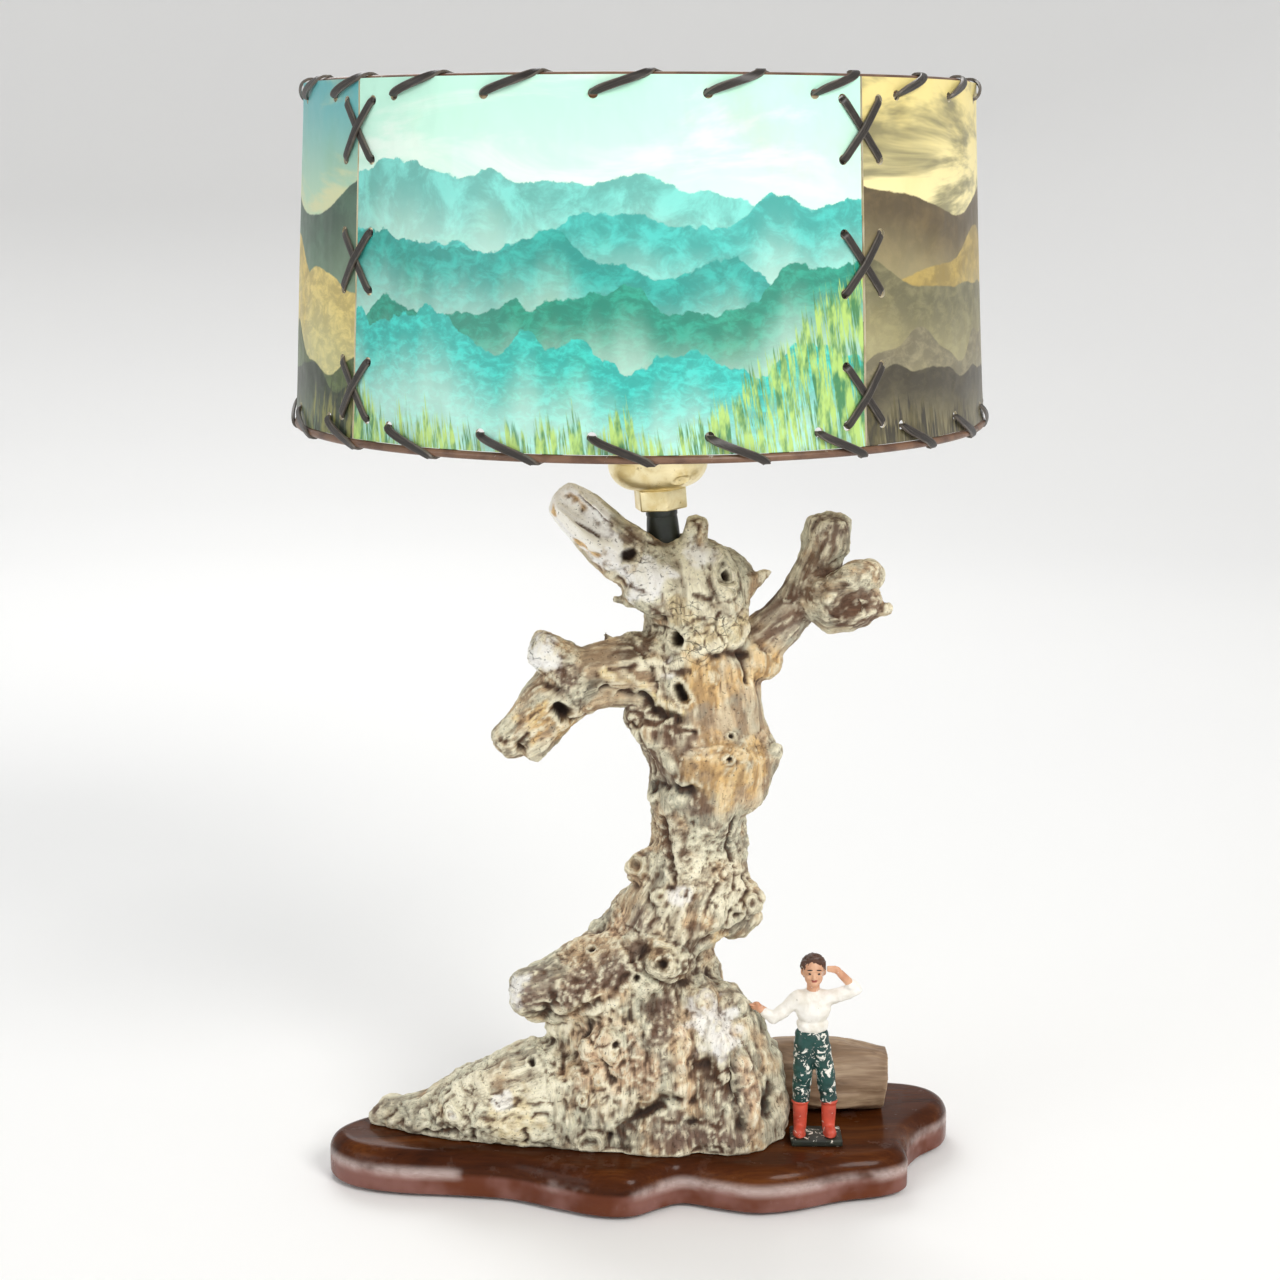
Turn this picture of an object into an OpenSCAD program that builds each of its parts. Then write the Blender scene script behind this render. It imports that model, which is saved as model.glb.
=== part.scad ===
// Driftwood table lamp: a gnarled piece of driftwood on a wavy board, with a painted toy figure at its
// foot, a leaning lamp holder on top and a drum shade of four laced parchment panels clipped to the bulb.
// Millimetres, +Z up. The origin lies on the table, under the axis about which the shade turns.

/* [Base] */
// Thickness of the board
board_t = 18; // [12:0.5:28]
// How far the rounding of the board's top edge reaches inward
board_round = 6; // [2:0.5:8]
// How far the easing of the board's bottom edge reaches inward
board_ease = 1.5; // [0.5:0.25:3]
// Thickness of the felt pad
felt_t = 1.5; // [0.8:0.1:4]
// Distance from the board's edge to the felt's edge
felt_inset = 7; // [4:0.5:14]
// Radius of the base screws' shanks
screw_r = 2; // [1.5:0.1:3]
// Length of the base screws
screw_len = 38; // [32:1:50]

/* [Driftwood] */
// Height from the board to the seat of the lamp neck
trunk_h = 246.5; // [220:0.5:280]
// Depth of the waves in the wood, as a share of each limb's radius
gnarl = 0.055; // [0:0.005:0.08]
// Depth of the drilled hole for the nipple
bore_depth = 33; // [31:1:42]

/* [Side log] */
// Length of the side log
log_len = 48; // [35:1:55]
// Radius of the side log
log_r = 15; // [10:0.5:17]

/* [Figurine] */
// Height of the toy figure with its plinth
figure_h = 80; // [60:1:95]

/* [Neck] */
// Lean of the lamp holder towards the left, in degrees
lean = 4.4; // [0:0.2:7]
// Outside radius of the threaded nipple
nipple_r = 5.15; // [4.5:0.05:6.5]
// Radius of the wire way through the nipple
wire_way_r = 3.6; // [2.5:0.1:4]
// Length of the nipple below the seat
nipple_grip = 20; // [14:1:22]
// Height of the dark neck spacer
spacer_h = 14; // [8:0.5:24]
// Wall of the neck spacer at its top
spacer_wall = 0.7; // [0.5:0.1:3]
// Extra radius of the neck spacer at its foot
spacer_flare = 0.8; // [0:0.1:3]

/* [Cord inlet] */
// Radius of the hole through the cord bushing
inlet_r = 3.2; // [2.5:0.1:4]
// Wall of the cord bushing
inlet_wall = 1.3; // [0.8:0.1:2]
// Flange width of the cord bushing beyond its barrel
inlet_flange = 2; // [1:0.1:3]
// Depth of the cross hole's centre below the seat
inlet_drop = 26; // [24:0.5:28]

/* [Lamp holder] */
// Radius of the hexagonal neck across its corners
hex_r = 10.9; // [9:0.1:13]
// Height of the hexagonal neck
hex_h = 8.5; // [5:0.5:14]
// Outside radius of the cap's rim
cap_r = 19.7; // [19:0.1:24]
// Height of the cap's bowl
bowl_h = 13.5; // [10:0.5:20]
// Wall of the cap
cap_wall = 0.9; // [0.6:0.1:1.5]
// Outside radius of the socket shell
shell_r = 17; // [16.5:0.1:17.6]
// Height of the socket shell
shell_h = 40; // [36:0.5:48]
// Wall of the socket shell
shell_wall = 0.6; // [0.4:0.1:0.9]
// Depth of the shell's skirt inside the cap
shell_lap = 5; // [3:0.5:7]
// Wall of the insulating sleeve
sleeve_wall = 0.8; // [0.5:0.1:1]
// Height of the moulded socket body
body_h = 18; // [15:0.5:20]
// Wall of the screw shell
screw_shell_wall = 0.5; // [0.3:0.1:0.7]
// Height of the screw shell
screw_shell_h = 18; // [12:0.5:20]
// Height of the centre contact
contact_h = 2; // [1.5:0.1:3]

/* [Switch] */
// Radius of the switch shaft
shaft_r = 1.8; // [1.4:0.1:2.4]
// Height of the switch shaft above the foot of the socket body
shaft_up = 10; // [9:0.5:11]
// Width of the switch key
key_w = 17; // [12:0.5:22]
// Thickness of the switch key
key_t = 4; // [3:0.2:6]
// Length of the switch key outside the socket shell
key_len = 14; // [10:0.5:20]

/* [Bulb] */
// Radius of the bulb
bulb_r = 30; // [24:0.5:36]
// Height of the bulb's centre above its tip contact
bulb_len = 72; // [64:0.5:82]
// Wall of the bulb's glass
glass_t = 0.9; // [0.6:0.1:1.4]
// Radius of the bulb's screw cap
bulb_cap_r = 13; // [12.5:0.1:13.3]
// Height of the bulb's screw cap
bulb_cap_h = 22; // [18:0.5:26]

/* [Shade] */
// Radius of the shade at its top rim
shade_top_r = 126; // [105:0.5:140]
// Radius of the shade at its bottom rim
shade_low_r = 132.5; // [115:0.5:150]
// Height of the panels
shade_h = 124.5; // [112:0.5:160]
// Height of the bulb's centre above the panels' bottom edge
shade_drop = 71.5; // [50:0.5:85]
// Thickness of the panels
panel_t = 1; // [0.6:0.1:1.6]
// Gap between neighbouring panels
seam_gap = 0.8; // [0.4:0.1:2]
// Angle that the front and back panels cover
front_span = 86; // [75:1:105]
// Turn of the front panel away from the front, in degrees
front_turn = -7; // [-30:1:30]
// Radius of the ring wire
wire_r = 1.4; // [1:0.1:2]
// Radius of the hoops that grip the bulb
hoop_r = 22; // [16:0.5:23]
// Radius of the hoops' wire
clip_wire_r = 1.2; // [0.9:0.1:1.6]
// Radius of the clip arms' wire
arm_wire_r = 1.4; // [1:0.1:1.8]
// Radius of the bend in the clip arms
arm_bend = 8; // [4:0.5:14]

/* [Lacing] */
// Radius of the lace
lace_r = 1.1; // [0.8:0.05:1.3]
// Distance of the rim holes from the panel's edge
hole_in = 6; // [5:0.25:9]
// Stitches along the rim of the front and back panels
front_stitches = 5; // [3:1:6]
// Stitches along the rim of the side panels
side_stitches = 6; // [3:1:6]
// Half the width of a seam's crosses
cross_w = 8; // [6:0.5:13]
// Half the height of a seam's crosses
cross_h = 10; // [7:0.5:14]
// Distance from a rim to the centre of the nearest cross
cross_in = 17.5; // [16:0.5:30]
// Crosses along each seam
crosses = 3; // [2:1:3]

/* [Fits] */
// Gap between pieces that fit inside one another
fit = 0.3; // [0.2:0.05:0.4]
// Gap between the shaft or the nipple and its hole
bore_fit = 0.15; // [0.1:0.05:0.3]

/* [Hidden] */
$fn = 48;

// Heights above the table
board_top = felt_t + board_t;
seat_z = board_top + trunk_h;

// Heights along the leaning lamp holder, measured from its seat on the wood
bowl_foot = spacer_h + hex_h;
cap_rim = bowl_foot + bowl_h;
shell_foot = cap_rim - shell_lap;
shell_top = shell_foot + shell_h;
body_foot = shell_foot + 1;
body_top = body_foot + body_h;
shaft_h = body_foot + shaft_up;
tip_foot = body_top + contact_h;
bulb_up = tip_foot + bulb_len;

// Radii inside the lamp holder, from the shell inward
skirt_r = cap_r - cap_wall - fit;
sleeve_r = shell_r - shell_wall - fit;
body_r = sleeve_r - sleeve_wall - fit;
screw_shell_r = bulb_cap_r + fit + screw_shell_wall;
bulb_neck_r = bulb_cap_r - 0.5 - fit;

// The seat lies where the leaning axis, run up to the bulb's centre, meets the shade's axis
seat = [bulb_up * sin(lean), 0, seat_z];
bulb_z = seat_z + bulb_up * cos(lean);

// Heights and angles of the shade
shade_low = bulb_z - shade_drop;
shade_top = shade_low + shade_h;
side_span = 180 - front_span;
front_start = front_turn - front_span / 2 - 90;
spans = [front_span, side_span, front_span, side_span];
stitches = [front_stitches, side_stitches, front_stitches, side_stitches];
starts = [front_start, front_start + front_span, front_start + 180, front_start + 180 + front_span];
hole_r = lace_r + 0.8;

// The hoops lie on the bulb, tilted up so that they stay above its taper; an arm rises from each hoop's top
hoop_reach = bulb_r + clip_wire_r + fit;
hoop_tilt = 27;
hoop_top_angle = hoop_tilt + asin(hoop_r / hoop_reach);
arm_x = hoop_reach * cos(hoop_top_angle);
arm_foot = bulb_z + hoop_reach * sin(hoop_top_angle);

// Base board: the points its wavy edge passes through, seen from above, going round from the left end
board_points = [[-129, -2], [-126, -14], [-116, -23], [-98, -28.5], [-74, -31], [-52, -34.5], [-33, -43],
    [-17, -49.5], [-3, -50], [9, -42], [18, -38], [32, -43], [47, -47], [63, -44], [82, -36], [99, -31.5],
    [109, -24], [111, -8], [118, 6], [129, 18], [132, 34], [122, 46], [102, 50], [72, 51], [36, 57],
    [-4, 60], [-44, 53], [-78, 38], [-104, 20], [-120, 10]];
// Base screws: three into the trunk's foot and one into the log
screw_places = [[-58, -6], [6, 16], [28, -14], [78, 20]];

// Driftwood: rings of the stem, as [x, y, height above the board, half width, half depth]
stem_rings = [[3, -3, -6, 49, 31], [3, -3, 8, 48, 30], [3, -2, 22, 46.5, 28.5], [3, -1, 37, 44, 27],
    [1, 0, 53, 39, 25], [0, 1, 64, 32, 24], [3.5, 2, 79, 26, 23.5], [16, 2, 95, 28, 22.5],
    [21, 1, 110, 22.5, 20], [23.5, 0, 125, 18.5, 18], [24.5, -1, 136, 19, 18], [27.5, -2, 146, 23, 19.5], [28, -2, 161, 28.5, 21],
    [22, -1, 176, 28, 21], [23, 0, 191, 23.5, 19.5], [22.5, 1, 207, 21, 18.5], [23.8, 1, 220, 20.7, 18.5],
    [24, 0, 230, 21, 18], [19, 0, 239, 22.5, 16], [15, 0, 246, 15.5, 12.5], [14, 0, 250, 6, 5]];
// Limbs: centre line and radius, as [x, y, height above the board, radius], from inside the stem to the tip
left_arm = [[20, 0, 188, 14], [4, -3, 195.5, 15], [-16, -6, 194.5, 13.5], [-30, -9, 188.5, 13.2],
    [-40, -11, 179, 11.5], [-49, -13, 171, 8.5], [-56, -14, 167.5, 6]];
left_thumb = [[-35, -12, 178, 8], [-41, -16, 168, 5.5], [-43, -17, 163, 3]];
left_stub = [[-20, -6, 193, 9.8], [-31, -9, 200.5, 9.3], [-41.5, -12, 207.5, 7.6]];
right_arm = [[30, 2, 195, 13], [46, 4, 204, 11], [57, 5, 214, 9.6], [66, 5, 227, 9], [73, 5, 240, 8.8],
    [74.5, 5, 249, 9.8], [75, 5, 255.3, 8.8]];
elbow = [[40, 1, 202, 10], [49, 1, 198, 10], [55, 1, 195, 5]];
burl = [[68, 4, 227, 9], [78, 0, 223, 13.5], [88, -3, 224, 10.5], [94, -4, 226, 4.5]];
burl_lip = [[76, -4, 228, 6], [83, -8, 233, 7], [91, -5, 235, 5.5], [94, -3, 231, 3]];
burl_spike = [[86, -2, 219, 4.5], [94, -3, 220, 3.2], [100, -4, 220.5, 2.2]];
horn = [[16, -3, 234, 14], [1, -6, 239.5, 11.8], [-12.3, -8, 249.3, 10.8], [-23, -9, 259.7, 10.3],
    [-30.9, -9.5, 266.4, 7.4]];
snout = [[26, 3, 231, 10], [12, -7, 231, 12.5], [4, -10, 232, 11.5], [-5, -10, 234, 8]];
spur = [[10, -4, 222, 4.5], [0, -6, 224, 3], [-10.5, -7, 225, 1.4]];
arm_twig = [[-8, -5, 201, 4], [-11, -2, 206.5, 2.8], [-14.5, 0, 210.3, 1.7]];
thorn = [[40, -2, 229, 6], [47, -3, 233, 3], [52, -3, 236, 1]];
top_stub = [[20, -4, 240, 7], [21.5, -5, 250, 5.4], [22.5, -5, 257, 4.4]];
side_edge = [[42, -4, 156, 9], [51, -5, 161, 5.5], [56.5, -5, 164, 2]];
root_stub = [[16, 2, 70, 17], [-4, -3, 69, 21], [-14, -6, 67, 20], [-27, -9, 65, 16.5], [-42, -11, 63.5, 11.6],
    [-51, -12, 64.5, 7.8]];
left_root = [[14, 1, 22, 18], [-8, -3, 21, 24], [-30, -6, 17, 24.5], [-52, -6, 13, 22], [-72, -5, 9, 17],
    [-88, -3, 5.5, 11.5], [-102, 1, 3.5, 7.5], [-112, 3, 2.5, 4.5]];
front_root = [[4, 0, 58, 20], [-4, -8, 36, 19], [-10, -14, 16, 17], [-14, -16, -6, 15]];
front_right_root = [[16, 0, 58, 17], [28, -8, 40, 19], [34, -14, 18, 18], [38, -17, -6, 17]];
right_root = [[14, -2, 58, 17], [38.5, -6, 43, 14.5], [49, -10, 22, 11], [52, -12, -6, 9]];
back_root = [[16, 2, 52, 20], [20, 12, 30, 17], [24, 18, 8, 15], [26, 20, -6, 14]];
back_left_root = [[0, 2, 50, 20], [-12, 10, 28, 17], [-20, 15, 8, 14], [-24, 17, -6, 13]];
limbs = [left_arm, left_thumb, left_stub, right_arm, elbow, burl, burl_lip, burl_spike, horn, snout, spur,
    thorn, top_stub, side_edge, root_stub, left_root, front_root, front_right_root, right_root, back_root,
    back_left_root, arm_twig];
// Knots: raised mounds, as [x, y, height above the board, radius]; the point is the mound's top
knots = [[-6, -8, 112, 9], [50, -9, 101, 10], [50, -2, 92, 8], [43.5, -17.5, 58, 7.5], [51, -5, 144, 5],
    [3, -9, 146, 6], [37, -22, 168, 8], [10, -20, 178, 8], [30, -19, 196, 7], [7, -27, 78, 9], [26, -25, 62, 8],
    [-24, -27, 44, 9], [14, 24, 120, 9], [38, 21, 172, 8], [8, 26, 84, 9], [24, 21, 202, 7]];
// Hollows: eyes, knot holes and gouges, as [x, y, height above the board, radius]
hollows = [[17.5, -20, 207.5, 3.4], [35, -19.5, 235, 3.2], [15, -26, 186, 5], [-1, -17, 178, 4.5],
    [-28, -23, 176, 3], [6, -31, 79, 4.5], [-21, -28, 73, 4], [40, -19, 139, 2], [81, -19.5, 222, 10]];
// Horn gouge: the trough along the front of the horn, as [x, y, height above the board, radius]
horn_gouge = [[-32, -16, 270, 5], [-23, -17.4, 262, 4.8], [-13, -19, 253, 4.2]];

// Small vector helpers
function unit(v) = v / norm(v);
function drop(v) = [v[0], v[1], v[2]];
function across(t) = unit(cross(t, abs(t[1]) < 0.8 ? [0, 1, 0] : [1, 0, 0]));

// A smooth curve through a list of stations, open or closed, taken at position u
function bend(p, q, r, s, t) = 0.5 * (2 * q + (r - p) * t + (2 * p - 5 * q + 4 * r - s) * t * t
    + (3 * q - p - 3 * r + s) * t * t * t);
function along(s, u) = let (last = len(s) - 1, i = min(floor(u), last - 1))
    bend(s[max(i - 1, 0)], s[i], s[i + 1], s[min(i + 2, last)], u - i);
function along_loop(s, u) = let (n = len(s), i = floor(u))
    bend(s[(i + n - 1) % n], s[i % n], s[(i + 1) % n], s[(i + 2) % n], u - i);
function sampled(s, steps) = [for (i = [0:(len(s) - 1) * steps]) along(s, i / steps)];

// Directions along a path, and side vectors carried along it without twist
function tangents(p) = [for (i = [0:len(p) - 1])
    unit((i > 0 ? unit(p[i] - p[i - 1]) : [0, 0, 0]) + (i < len(p) - 1 ? unit(p[i + 1] - p[i]) : [0, 0, 0]))];
function carried(n, t) = unit(n - (n * t) * t);
function sides_of(t) = [for (i = 0, n = across(t[0]); i < len(t);
    n = i + 1 < len(t) ? carried(n, t[i + 1]) : n, i = i + 1) n];

// The waves in the wood at angle a and position u of a limb
function wave(a, u, seed) = gnarl * (sin(2 * a + 83 * u + 37 * seed) + 0.8 * sin(3 * a - 119 * u + 61 * seed)
    + 0.6 * sin(5 * a + 151 * u + 17 * seed) + 0.5 * sin(7 * a - 77 * u + 29 * seed));

// The faces of a skin over rings of points, closed by a point before the first and one after the last ring
function skin_faces(rings, n) = let (foot = rings * n, tip = rings * n + 1) concat(
    [for (i = [0:rings - 2], k = [0:n - 1]) [i * n + k, (i + 1) * n + k, (i + 1) * n + (k + 1) % n]],
    [for (i = [0:rings - 2], k = [0:n - 1]) [i * n + k, (i + 1) * n + (k + 1) % n, i * n + (k + 1) % n]],
    [for (k = [0:n - 1]) [foot, k, (k + 1) % n]],
    [for (k = [0:n - 1]) [tip, (rings - 1) * n + (k + 1) % n, (rings - 1) * n + k]]);

// A tapering round limb along [x, y, z, radius] stations, with waves and slightly domed ends
module limb(stations, seed, steps = 2, n = 12, dome = 0.35) {
    s = sampled(stations, steps);
    p = [for (q = s) drop(q)];
    t = tangents(p);
    side = sides_of(t);
    last = len(s) - 1;
    rings = [for (i = [0:last], k = [0:n - 1])
        let (a = 360 * k / n, r = s[i][3] * (1 + wave(a, i / steps, seed)))
        p[i] + r * (cos(a) * side[i] + sin(a) * cross(t[i], side[i]))];
    ends = [p[0] - dome * s[0][3] * t[0], p[last] + dome * s[last][3] * t[last]];
    polyhedron(concat(rings, ends), skin_faces(last + 1, n), convexity = 6);
}

// A plain tube along a path, used for the laces
module tube(path, r, n = 6) {
    t = tangents(path);
    side = sides_of(t);
    rings = [for (i = [0:len(path) - 1], k = [0:n - 1])
        let (a = 360 * k / n) path[i] + r * (cos(a) * side[i] + sin(a) * cross(t[i], side[i]))];
    polyhedron(concat(rings, [path[0], path[len(path) - 1]]), skin_faces(len(path), n), convexity = 10);
}

// The least gap between stretches of a tube that lie further apart along it than three diameters
function run_lengths(p) = [for (i = 0, d = 0; i < len(p);
    d = i + 1 < len(p) ? d + norm(p[i + 1] - p[i]) : d, i = i + 1) d];
function least_gap(p, r) = let (d = run_lengths(p)) min([for (i = [0:len(p) - 2], j = [i + 1:len(p) - 1])
    if (d[j] - d[i] > 6 * r) norm(p[j] - p[i])]) - 2 * r;

// Base

// The board's edge, drawn in by a given inset along its own normals
function board_edge(inset, steps = 2) = let (n = len(board_points))
    [for (i = [0:n * steps - 1])
        let (u = i / steps, p = along_loop(board_points, u),
            d = unit(along_loop(board_points, u + 0.05) - along_loop(board_points, u + n - 0.05)))
        p + inset * [-d[1], d[0]]];

module board_blank() {
    steps = 2;
    n = len(board_points) * steps;
    // Insets and heights of the eased bottom edge, the side and the rounded top edge
    profile = concat([[board_ease, 0], [0.3 * board_ease, 0.3 * board_ease], [0, board_ease]],
        [for (a = [0:18:90]) [board_round * (1 - cos(a)), board_t - 1.3 * board_round * (1 - sin(a))]]);
    rings = [for (q = profile, e = board_edge(q[0], steps)) [e[0], e[1], q[1]]];
    ends = [[0, 0, 0], [0, 0, board_t]];
    translate([0, 0, felt_t])
        polyhedron(concat(rings, ends), skin_faces(len(profile), n), convexity = 6);
}

module at_screws() {
    for (p = screw_places) translate([p[0], p[1], felt_t]) children();
}

screw_head_r = 2 * screw_r;
screw_head_h = 1.3 * screw_r;

module base_board() {
    color("saddlebrown") difference() {
        board_blank();
        at_screws() {
            translate([0, 0, -1]) cylinder(r = screw_r + fit, h = board_t + 2);
            translate([0, 0, -1]) cylinder(r = screw_head_r + fit, h = 1 + screw_head_h);
        }
    }
}

module felt_pad() {
    color("darkolivegreen") linear_extrude(felt_t) polygon(board_edge(felt_inset));
}

module base_screws() {
    color("silver") at_screws() difference() {
        rotate_extrude() polygon([[0, 0], [screw_head_r, 0], [screw_head_r, 0.4], [screw_r, screw_head_h],
            [screw_r, screw_len - 3 * screw_r], [0.3, screw_len], [0, screw_len]]);
        translate([-screw_head_r, -0.4, -0.1]) cube([2 * screw_head_r, 0.8, 0.9]);
    }
}

// Driftwood

// Heights of the wood scale with the trunk's height, so that the neck's seat stays in its head
station_h = 246.5;
trunk_stretch = trunk_h / station_h;
// The middle of the stem, from left to right
stem_x = 20;

function raised(q) = [q[0], q[1], board_top + trunk_stretch * q[2], q[3]];

module stem() {
    steps = 2;
    n = 24;
    s = sampled(stem_rings, steps);
    last = len(s) - 1;
    rings = [for (i = [0:last], k = [0:n - 1]) let (a = 360 * k / n, w = 1 + wave(a, i / steps, 0))
        [s[i][0] + s[i][3] * w * cos(a), s[i][1] + s[i][4] * w * sin(a), board_top + trunk_stretch * s[i][2]]];
    ends = [for (q = [s[0], s[last]]) [q[0], q[1], board_top + trunk_stretch * q[2]]];
    polyhedron(concat(rings, ends), skin_faces(last + 1, n), convexity = 6);
}

// A knot is a mound that widens towards the middle of the wood behind it
module knot(q) {
    top = drop(raised(q));
    inward = unit([stem_x, 0, top[2]] - top);
    hull() {
        translate(top + 0.5 * q[3] * inward) sphere(0.5 * q[3], $fn = 12);
        translate(top + 1.6 * q[3] * inward) sphere(1.2 * q[3], $fn = 12);
    }
}

// Places an object on the leaning axis of the lamp holder, with its origin at the seat
module on_neck() {
    translate(seat) rotate([0, -lean, 0]) children();
}

// The hole for the nipple with a spot face for the spacer, and the cross hole for the flex
module neck_bores() {
    on_neck() {
        translate([0, 0, -bore_depth]) cylinder(r = nipple_r + fit, h = bore_depth + 1, $fn = 32);
        cylinder(r = spacer_foot_r + 2 * fit, h = 40, $fn = 32);
    }
    at_inlet() {
        translate([0, 0, -inlet_depth - 12]) cylinder(r = inlet_barrel_r + fit, h = inlet_depth + 13, $fn = 32);
        cylinder(r = inlet_barrel_r + inlet_flange + 2 * fit, h = 40, $fn = 32);
    }
}

module driftwood_trunk() {
    color("rosybrown") difference() {
        union() {
            stem();
            for (i = [0:len(limbs) - 1]) limb([for (q = limbs[i]) raised(q)], i + 1);
            for (q = knots) knot(q);
        }
        translate([-200, -200, board_top - 60]) cube([400, 400, 60]);
        for (q = hollows) translate(drop(raised(q))) sphere(q[3], $fn = 16);
        for (i = [0:len(horn_gouge) - 2]) hull() for (q = [horn_gouge[i], horn_gouge[i + 1]])
            translate(drop(raised(q))) sphere(q[3], $fn = 14);
        at_screws() cylinder(r = screw_r + fit, h = screw_len + 1, $fn = 16);
        neck_bores();
    }
}

// Left end of the log, just clear of the trunk's foot
log_x = 56;

module side_log() {
    log_z = board_top + 0.9 * log_r;
    stations = [[log_x, 20, log_z + 1.5, 0.98 * log_r], [log_x + 0.35 * log_len, 20.5, log_z + 0.5, log_r],
        [log_x + 0.7 * log_len, 21, log_z, 0.97 * log_r], [log_x + log_len, 21, log_z - 1, 0.9 * log_r]];
    color("sienna") difference() {
        limb(stations, 40, 3, 20, 0);
        translate([0, -40, board_top - 60]) cube([200, 120, 60]);
        at_screws() cylinder(r = screw_r + fit, h = screw_len + 1, $fn = 16);
    }
}

// Figurine

// A chain of rounded segments through [x, y, z, radius] points
module chain(points) {
    for (i = [0:len(points) - 2]) hull() for (q = [points[i], points[i + 1]])
        translate(drop(q)) sphere(q[3], $fn = 10);
}

// The figure is drawn at its usual height and stands so that its hand stays beside the trunk
figure_scale = figure_h / 80;
hand_x = 45.3;
hand_reach = 28.1;

module figurine() {
    color("ivory") translate([hand_x + hand_reach * figure_scale, -15, board_top]) scale(figure_scale) {
        // Plinth
        hull() for (x = [-8.5, 6.5], y = [-5, 4]) translate([x, y, 0]) cylinder(r = 3, h = 3, $fn = 16);
        // Boots
        chain([[-7.5, 0.5, 5, 2.7], [-8.2, -4, 4.4, 2]]);
        chain([[4, 0.5, 5, 2.7], [4.8, -4, 4.4, 2]]);
        // Legs
        chain([[-7.5, 0, 5, 2.6], [-7.5, 0, 14, 2.9], [-6.6, -0.8, 28, 3.9], [-5.4, 0, 43, 5]]);
        chain([[4, 0, 5, 2.6], [4.2, 0, 14, 2.9], [3, -0.8, 29, 3.9], [-0.8, 0, 43, 5]]);
        // Shirt
        hull() for (q = [[-6, 0, 48, 4.2], [-0.2, 0, 48, 4.2], [-8, 0, 61, 4], [2.6, 0, 61, 4], [-3, -1, 57, 5]])
            translate(drop(q)) sphere(q[3], $fn = 12);
        // Arms: one hand on the wood, the other raised to the brow
        chain([[-9, 0, 62, 3.1], [-18.5, -1, 53.5, 2.6], [-26, 0, 58, 2.1]]);
        chain([[4, 0, 62, 3.1], [14.2, -1, 65.5, 2.5], [6.4, -4.5, 74.4, 2]]);
        // Neck and head
        chain([[-3, 0, 62, 2.8], [-3, -0.5, 68, 2.6]]);
        hull() {
            translate([-3, -0.6, 73.4]) sphere(5.5, $fn = 12);
            translate([-3, -1.2, 70]) sphere(4.4, $fn = 12);
        }
        chain([[-3.2, 1, 74.5, 5.6], [-2.8, 0, 75.6, 4.6]]);
        translate([-2.6, -6.4, 71.5]) sphere(0.9, $fn = 10);
    }
}

// Cord inlet

inlet_depth = 8;
inlet_barrel_r = inlet_r + inlet_wall;
inlet_flange_t = 1.6;
spot_y = 14;

// The cross hole runs back from the nipple's hole; its mouth lies on the spot face at the back of the wood
module at_inlet() {
    translate([seat[0] + inlet_drop * sin(lean), spot_y, seat_z - inlet_drop * cos(lean)])
        rotate([-90, 0, 0]) children();
}

module cord_bushing() {
    color("black") at_inlet() rotate_extrude() polygon([[inlet_r, -inlet_depth], [inlet_barrel_r, -inlet_depth],
        [inlet_barrel_r, 0], [inlet_barrel_r + inlet_flange, 0],
        [inlet_barrel_r + inlet_flange, 0.6 * inlet_flange_t],
        [inlet_barrel_r + 0.6 * inlet_flange, inlet_flange_t], [inlet_r, inlet_flange_t]]);
}

// Neck and lamp holder

spacer_top_r = nipple_r + bore_fit + spacer_wall;
spacer_foot_r = spacer_top_r + spacer_flare;

module nipple() {
    color("dimgray") on_neck() difference() {
        translate([0, 0, -nipple_grip]) cylinder(r = nipple_r, h = nipple_grip + bowl_foot + 3);
        translate([0, 0, -nipple_grip - 1]) cylinder(r = wire_way_r, h = nipple_grip + bowl_foot + 5);
    }
}

module neck_spacer() {
    color("darkslategray") on_neck() difference() {
        cylinder(r1 = spacer_foot_r, r2 = spacer_top_r, h = spacer_h);
        translate([0, 0, -1]) cylinder(r = nipple_r + bore_fit, h = spacer_h + 2);
    }
}

// The bowl's half profile, drawn in by d: a step above the hexagon, a quarter round and an upright rim
module bowl_profile(d) {
    foot = 0.86 * hex_r;
    round_r = 0.72 * bowl_h;
    translate([0, d]) square([foot - d + round_r * 0.35, bowl_h - d]);
    intersection() {
        translate([cap_r - round_r, round_r]) circle(round_r - d);
        translate([cap_r - round_r, 0]) square([round_r, round_r]);
    }
    translate([cap_r - round_r - 0.1, round_r]) square([round_r - d + 0.1, bowl_h - round_r]);
    translate([0, d]) square([cap_r - round_r, bowl_h - d]);
}

module socket_cap() {
    color("gold") on_neck() difference() {
        union() {
            translate([0, 0, spacer_h]) rotate(12) cylinder(r = hex_r, h = hex_h, $fn = 6);
            translate([0, 0, bowl_foot]) rotate_extrude() bowl_profile(0);
        }
        translate([0, 0, bowl_foot]) rotate_extrude() difference() {
            bowl_profile(cap_wall);
            square([nipple_r + 1.5, 2]);
        }
        translate([0, 0, cap_rim - 1]) cylinder(r = cap_r - cap_wall, h = 2);
        translate([0, 0, spacer_h - 1]) cylinder(r = nipple_r + bore_fit, h = hex_h + bowl_h);
    }
}

// Places an object on the switch shaft's axis, which points to the right, square to the lamp holder
module on_shaft() {
    on_neck() translate([0, 0, shaft_h]) rotate([0, 90, 0]) children();
}

module shaft_hole(r) {
    on_shaft() cylinder(r = r, h = 2 * cap_r);
}

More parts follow.
